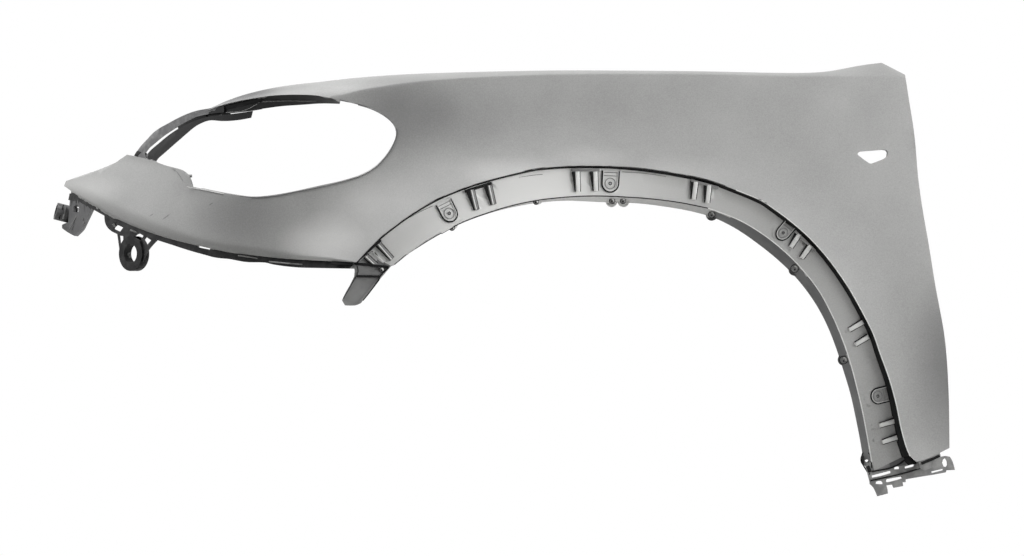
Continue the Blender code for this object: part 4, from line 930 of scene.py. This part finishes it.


# Fine lines of the moulding: painted shade along folds, gaps and edges, painted highlights on rims and
# facets, and grey lines along a rim and the band's creases
fineLines = {
    "lift": 0.0006,
    "paths": [    # name, picture path, radius, finish
        # painted shade along the tab's top, fold, rib and edge
        ("tabTopShade", [(331, 263.8), (356.4, 263.9), (372, 265.2), (388.7, 266.8)], 0.0017, stepShade),
        ("tabFoldShade", [(356.6, 276), (379, 276.5)], 0.0015, stepShade),
        ("tabRibShade", [(388.7, 267.6), (380.5, 275.6), (377, 283), (359.5, 304.5)], 0.0009, stepShade),
        ("tabEdgeShade", [(357.2, 266), (358.2, 271), (356.2, 276.5), (350.6, 286), (343.4, 298.5)],
            0.0005, stepShade),
        # painted highlights along the rail's top
        ("railHighlightFront", [(238, 255.5), (255, 258), (268, 261)], 0.0008, footGrey),
        ("railHighlightRear", [(269, 261.6), (300, 264.3), (327, 264.5)], 0.0009, footGrey),
        # a painted highlight on the lamp opening's lower rim
        ("lampLowerRim", [(186.6, 187), (198, 189), (211, 191.4), (223, 193.8), (236, 196.4)],
            0.0006, paintedHighlight),
        # painted shade along the dome's edge
        ("domeRim", [(172, 168.6), (176, 171), (179, 174.8), (182.4, 180), (186, 186)], 0.0004, tabGrey),
        # a darker grey line along the lamp opening's rear rim
        ("lampRearRim", [(339.5, 99.8), (358, 104.3), (373.6, 108.9), (386, 116.7), (394.6, 125.4),
            (397.4, 131.4), (396.4, 137), (391.4, 149.4), (381.2, 162.5), (368.8, 171.9),
            (356.4, 177.6), (339.5, 182.6), (318, 187.7), (295, 192.1), (278, 195.7),
            (256.6, 197.7), (240, 195.9)], 0.0004, flangeGrey),
        # painted shade along the band's front fold
        ("bandFoldFront", [(394.5, 264.6), (409, 252.8), (424, 243.2), (433, 237.8), (441.4, 233)],
            0.0006, stepShade),
        # grey lines along the band's creases
        ("bandCrease1", [(405.6, 220), (419, 212.4), (432.6, 206)], 0.00035, tabGrey),
        ("bandCrease2", [(519, 177.3), (530, 175.6), (542.6, 174.4)], 0.00035, tabGrey),
        ("bandCrease3", [(622, 171.8), (645, 173.4), (666, 176.6)], 0.00035, tabGrey),
        # painted shade inside the nose box and at the barrel's rim
        ("boxInnerShade", [(75.5, 206.4), (77.4, 214)], 0.0013, stepShade),
        ("barrelRimShade", [(63.6, 204.6), (61, 213), (58.6, 221)], 0.0008, stepShade),
        # painted highlights on the brow's rim and the nose box's front rim
        ("browRim", [(226, 112.6), (240, 111.6), (247.5, 109.4), (256.5, 104.5), (262.7, 101.8),
            (287, 100.8), (305.5, 101), (333, 100.6)], 0.0005, footGrey),
        ("boxFrontRim", [(81.5, 206.6), (75.5, 218), (69.5, 230)], 0.0007, footGrey),
        # painted shade along the foot's fold, the band's end and the skin's end
        ("footFoldShade", [(870.5, 480.6), (884, 477.8), (903, 473.4), (920.5, 468.2)], 0.0010, stepShade),
        ("bandEndShade", [(872, 471.5), (888, 468.6), (897, 465.5), (905, 460)], 0.0011, stepShade),
        ("skinEndShade", [(921.5, 463.6), (932, 459.2), (939.6, 455.6)], 0.0018, stepShade),
        # painted highlights on the rail, the nose box and the barrel
        ("railWindowLight", [(130, 230.2), (135, 231.8), (139.6, 233.6)], 0.0015, footGrey),
        ("railFrontFacet", [(113, 223.8), (115.6, 227)], 0.0018, footGrey),
        ("boxSideFacet", [(82.6, 218.6), (84.8, 224.6)], 0.0016, tabGrey),
        ("barrelLight", [(66, 206.4), (64.6, 212), (63.2, 219)], 0.0014, tabGrey),
        # painted shade round the lug housing at the foot
        ("lugHousingFront", [(863.2, 452), (861, 460), (864.6, 468.6), (869.6, 474)], 0.0009, stepShade),
        ("lugHousingRear", [(868.4, 452.6), (871, 458), (871.8, 468)], 0.0008, stepShade),
        ("lugHousingFoot", [(867.6, 466), (868.8, 469), (870, 472)], 0.0024, stepShade),
    ],
}


def fitFineLines():
    for name, path, radius, finish in fineLines["paths"]:
        points = surfacePath(path, 0, fineLines["lift"], 4)
        if len(points) > 2:
            fitTube(name, points, radius, finish)
        else:
            print("no surface under", name)


# Dark plates of painted shade behind the lamp's upper lip, between the straps and under the step's end
shadePlates = {
    # picture columns, and how deep the straps and the brow lie there
    "lipDepths": [(134, 0.0590), (138, 0.0540), (146, 0.0420), (160, 0.0220), (170, 0.0085), (180, -0.0040),
                  (190, -0.0160), (200, -0.0265), (206, -0.0325), (212, -0.0385), (220, -0.0455),
                  (226, -0.0480), (234, -0.0528), (241, -0.0570), (250, -0.0620), (257, -0.0655),
                  (270, -0.0710)],
    "thick": 0.002,
    "round": 0.0005,
    "plates": [    # name, picture outline, depth or how far behind the lip, which of the two, finish
        ("browShadePlate", [(214, 109.8), (226, 104.4), (241, 100.4), (252, 98), (262, 98.6), (260, 101.8),
            (250, 104.4), (240, 107), (228, 109.6), (216, 112.4)], 0.0016, "lip", stepShade),
        ("browLowerShadePlate", [(221, 112.6), (230, 111.8), (231, 116.6), (222, 116.6)],
            0.0016, "lip", stepShade),
        ("strapShadePlate", [(178, 126.4), (188, 120.2), (197, 115.4), (206, 113.4), (207, 117.4), (197, 120),
            (188, 124.6), (179, 130.8)], 0.0016, "lip", stepShade),
        ("strapFootShadePlate", [(134.4, 155.6), (137.4, 150.8), (146.6, 153), (146.6, 159.6), (137, 157.2)],
            0.0016, "lip", shadedStrapBlack),
        ("stepEndShadePlate", [(902.5, 446), (907.5, 453.5), (913.5, 459.5), (920, 463.8), (908, 465), (904.6, 462),
            (903, 455)], -0.1035, "depth", stepShade),
        ("bandEndShadePlate", [(889, 461.4), (894, 459), (899, 455), (904, 452), (906.5, 464.8), (897, 466.4),
            (890, 467)], -0.1032, "depth", flangeGrey),
    ],
}


def fitShadePlates():
    for name, outline, amount, kind, finish in shadePlates["plates"]:
        points = [atDepth(u, v, amount + (valueAt(shadePlates["lipDepths"], u) if kind == "lip" else 0))
                  for u, v in outline]
        keepPiece(flatShape(name, points, shadePlates["thick"], shadePlates["round"]), finish)


fitClipRibs()
fitClipSlotShades()
fitFineLines()
fitShadePlates()
fitStepShadowRibbon()
fitScrewLugs()
fitClipPads()
fitFoldBeads()
print("arch band mouldings are on")


# Studio: soft lamps round the panel, a pale floor below it and a white background
studio = {
    "lampSize": 1.4,
    "lampDistance": 2.2,
    "aim": (0, 0.08, -0.05),
    "lamps": [(-90, 60, 46), (-90, 25, 12), (60, 20, 29), (30, 20, 7), (60, 50, 4)],   # around, up, watts
    "ambient": 0.0,
    "floorPlace": (view["sidePlane"][0], 0.05, -0.84),
    "floorSize": (2.6, 1.9),
    "floorColour": "#f2f2f0",
    "floorGlow": (0.9, 0.72),    # how strongly it shines, and how much of that the camera sees
}


def addLamp(number, around, up, watts):
    light = bpy.data.lights.new(f"softbox{number}", "AREA")
    light.energy = watts
    light.size = studio["lampSize"]
    away = towards(around, up)
    lamp = linked(f"softbox{number}", light)
    lamp.location = Vector(view["sidePlane"]) + Vector(studio["aim"]) + away * studio["lampDistance"]
    lamp.rotation_euler = (-away).to_track_quat("-Z", "Y").to_euler()


def whiteWorld():
    world = bpy.data.worlds.new("studioWhite")
    bpy.context.scene.world = world
    world.use_nodes = True
    tree = world.node_tree
    tree.nodes.clear()
    ambient, white = (
        addNode(tree, "ShaderNodeBackground", inputs={"Color": (1, 1, 1, 1), "Strength": strength})
        for strength in (studio["ambient"], 1.0))
    mixed = addNode(tree, "ShaderNodeMixShader", inputs={
        0: seenDirectly(tree), 1: ambient.outputs[0], 2: white.outputs[0]})
    addNode(tree, "ShaderNodeOutputWorld", inputs={"Surface": mixed.outputs[0]})


def seenDirectly(tree):
    path = addNode(tree, "ShaderNodeLightPath")
    shiny = addNode(tree, "ShaderNodeMath", {"operation": "MAXIMUM"}, {
        0: path.outputs["Is Camera Ray"], 1: path.outputs["Is Glossy Ray"]})
    clear = addNode(tree, "ShaderNodeMath", {"operation": "MAXIMUM"}, {
        0: shiny.outputs[0], 1: path.outputs["Is Transmission Ray"]})
    return clear.outputs[0]


def paleFloor():
    bpy.ops.mesh.primitive_plane_add(size=1, location=studio["floorPlace"])
    floor = startShape("studioFloor")
    floor.scale = (*studio["floorSize"], 1)
    bpy.ops.object.transform_apply(location=True, rotation=True, scale=True)
    material = bpy.data.materials.new("paleFloorPaper")
    material.use_nodes = True
    tree = material.node_tree
    tree.nodes.clear()
    strength, amount = studio["floorGlow"]
    paper = addNode(tree, "ShaderNodeBsdfDiffuse", inputs={"Color": linear(studio["floorColour"])})
    glow = addNode(tree, "ShaderNodeEmission", inputs={"Color": (1, 1, 1, 1), "Strength": strength})
    share = addNode(tree, "ShaderNodeMath", {"operation": "MULTIPLY"}, {0: seenDirectly(tree), 1: amount})
    mixed = addNode(tree, "ShaderNodeMixShader", inputs={
        0: share.outputs[0], 1: paper.outputs[0], 2: glow.outputs[0]})
    addNode(tree, "ShaderNodeOutputMaterial", inputs={"Surface": mixed.outputs[0]})
    floor.data.materials.append(material)


for number, lamp in enumerate(studio["lamps"], 1):
    addLamp(number, *lamp)
whiteWorld()
paleFloor()

camera = linked("sideCamera", bpy.data.cameras.new("sideCamera"))
camera.location = eye
camera.rotation_euler = (math.radians(90), 0, 0)
camera.data.sensor_width = view["sensor"]
camera.data.lens = view["sensor"] * view["distance"] / (view["imageWidth"] * view["metresPerPixel"])
bpy.context.scene.camera = camera
bpy.context.scene.view_settings.view_transform = "Standard"
print("camera, lamps and floor are set")
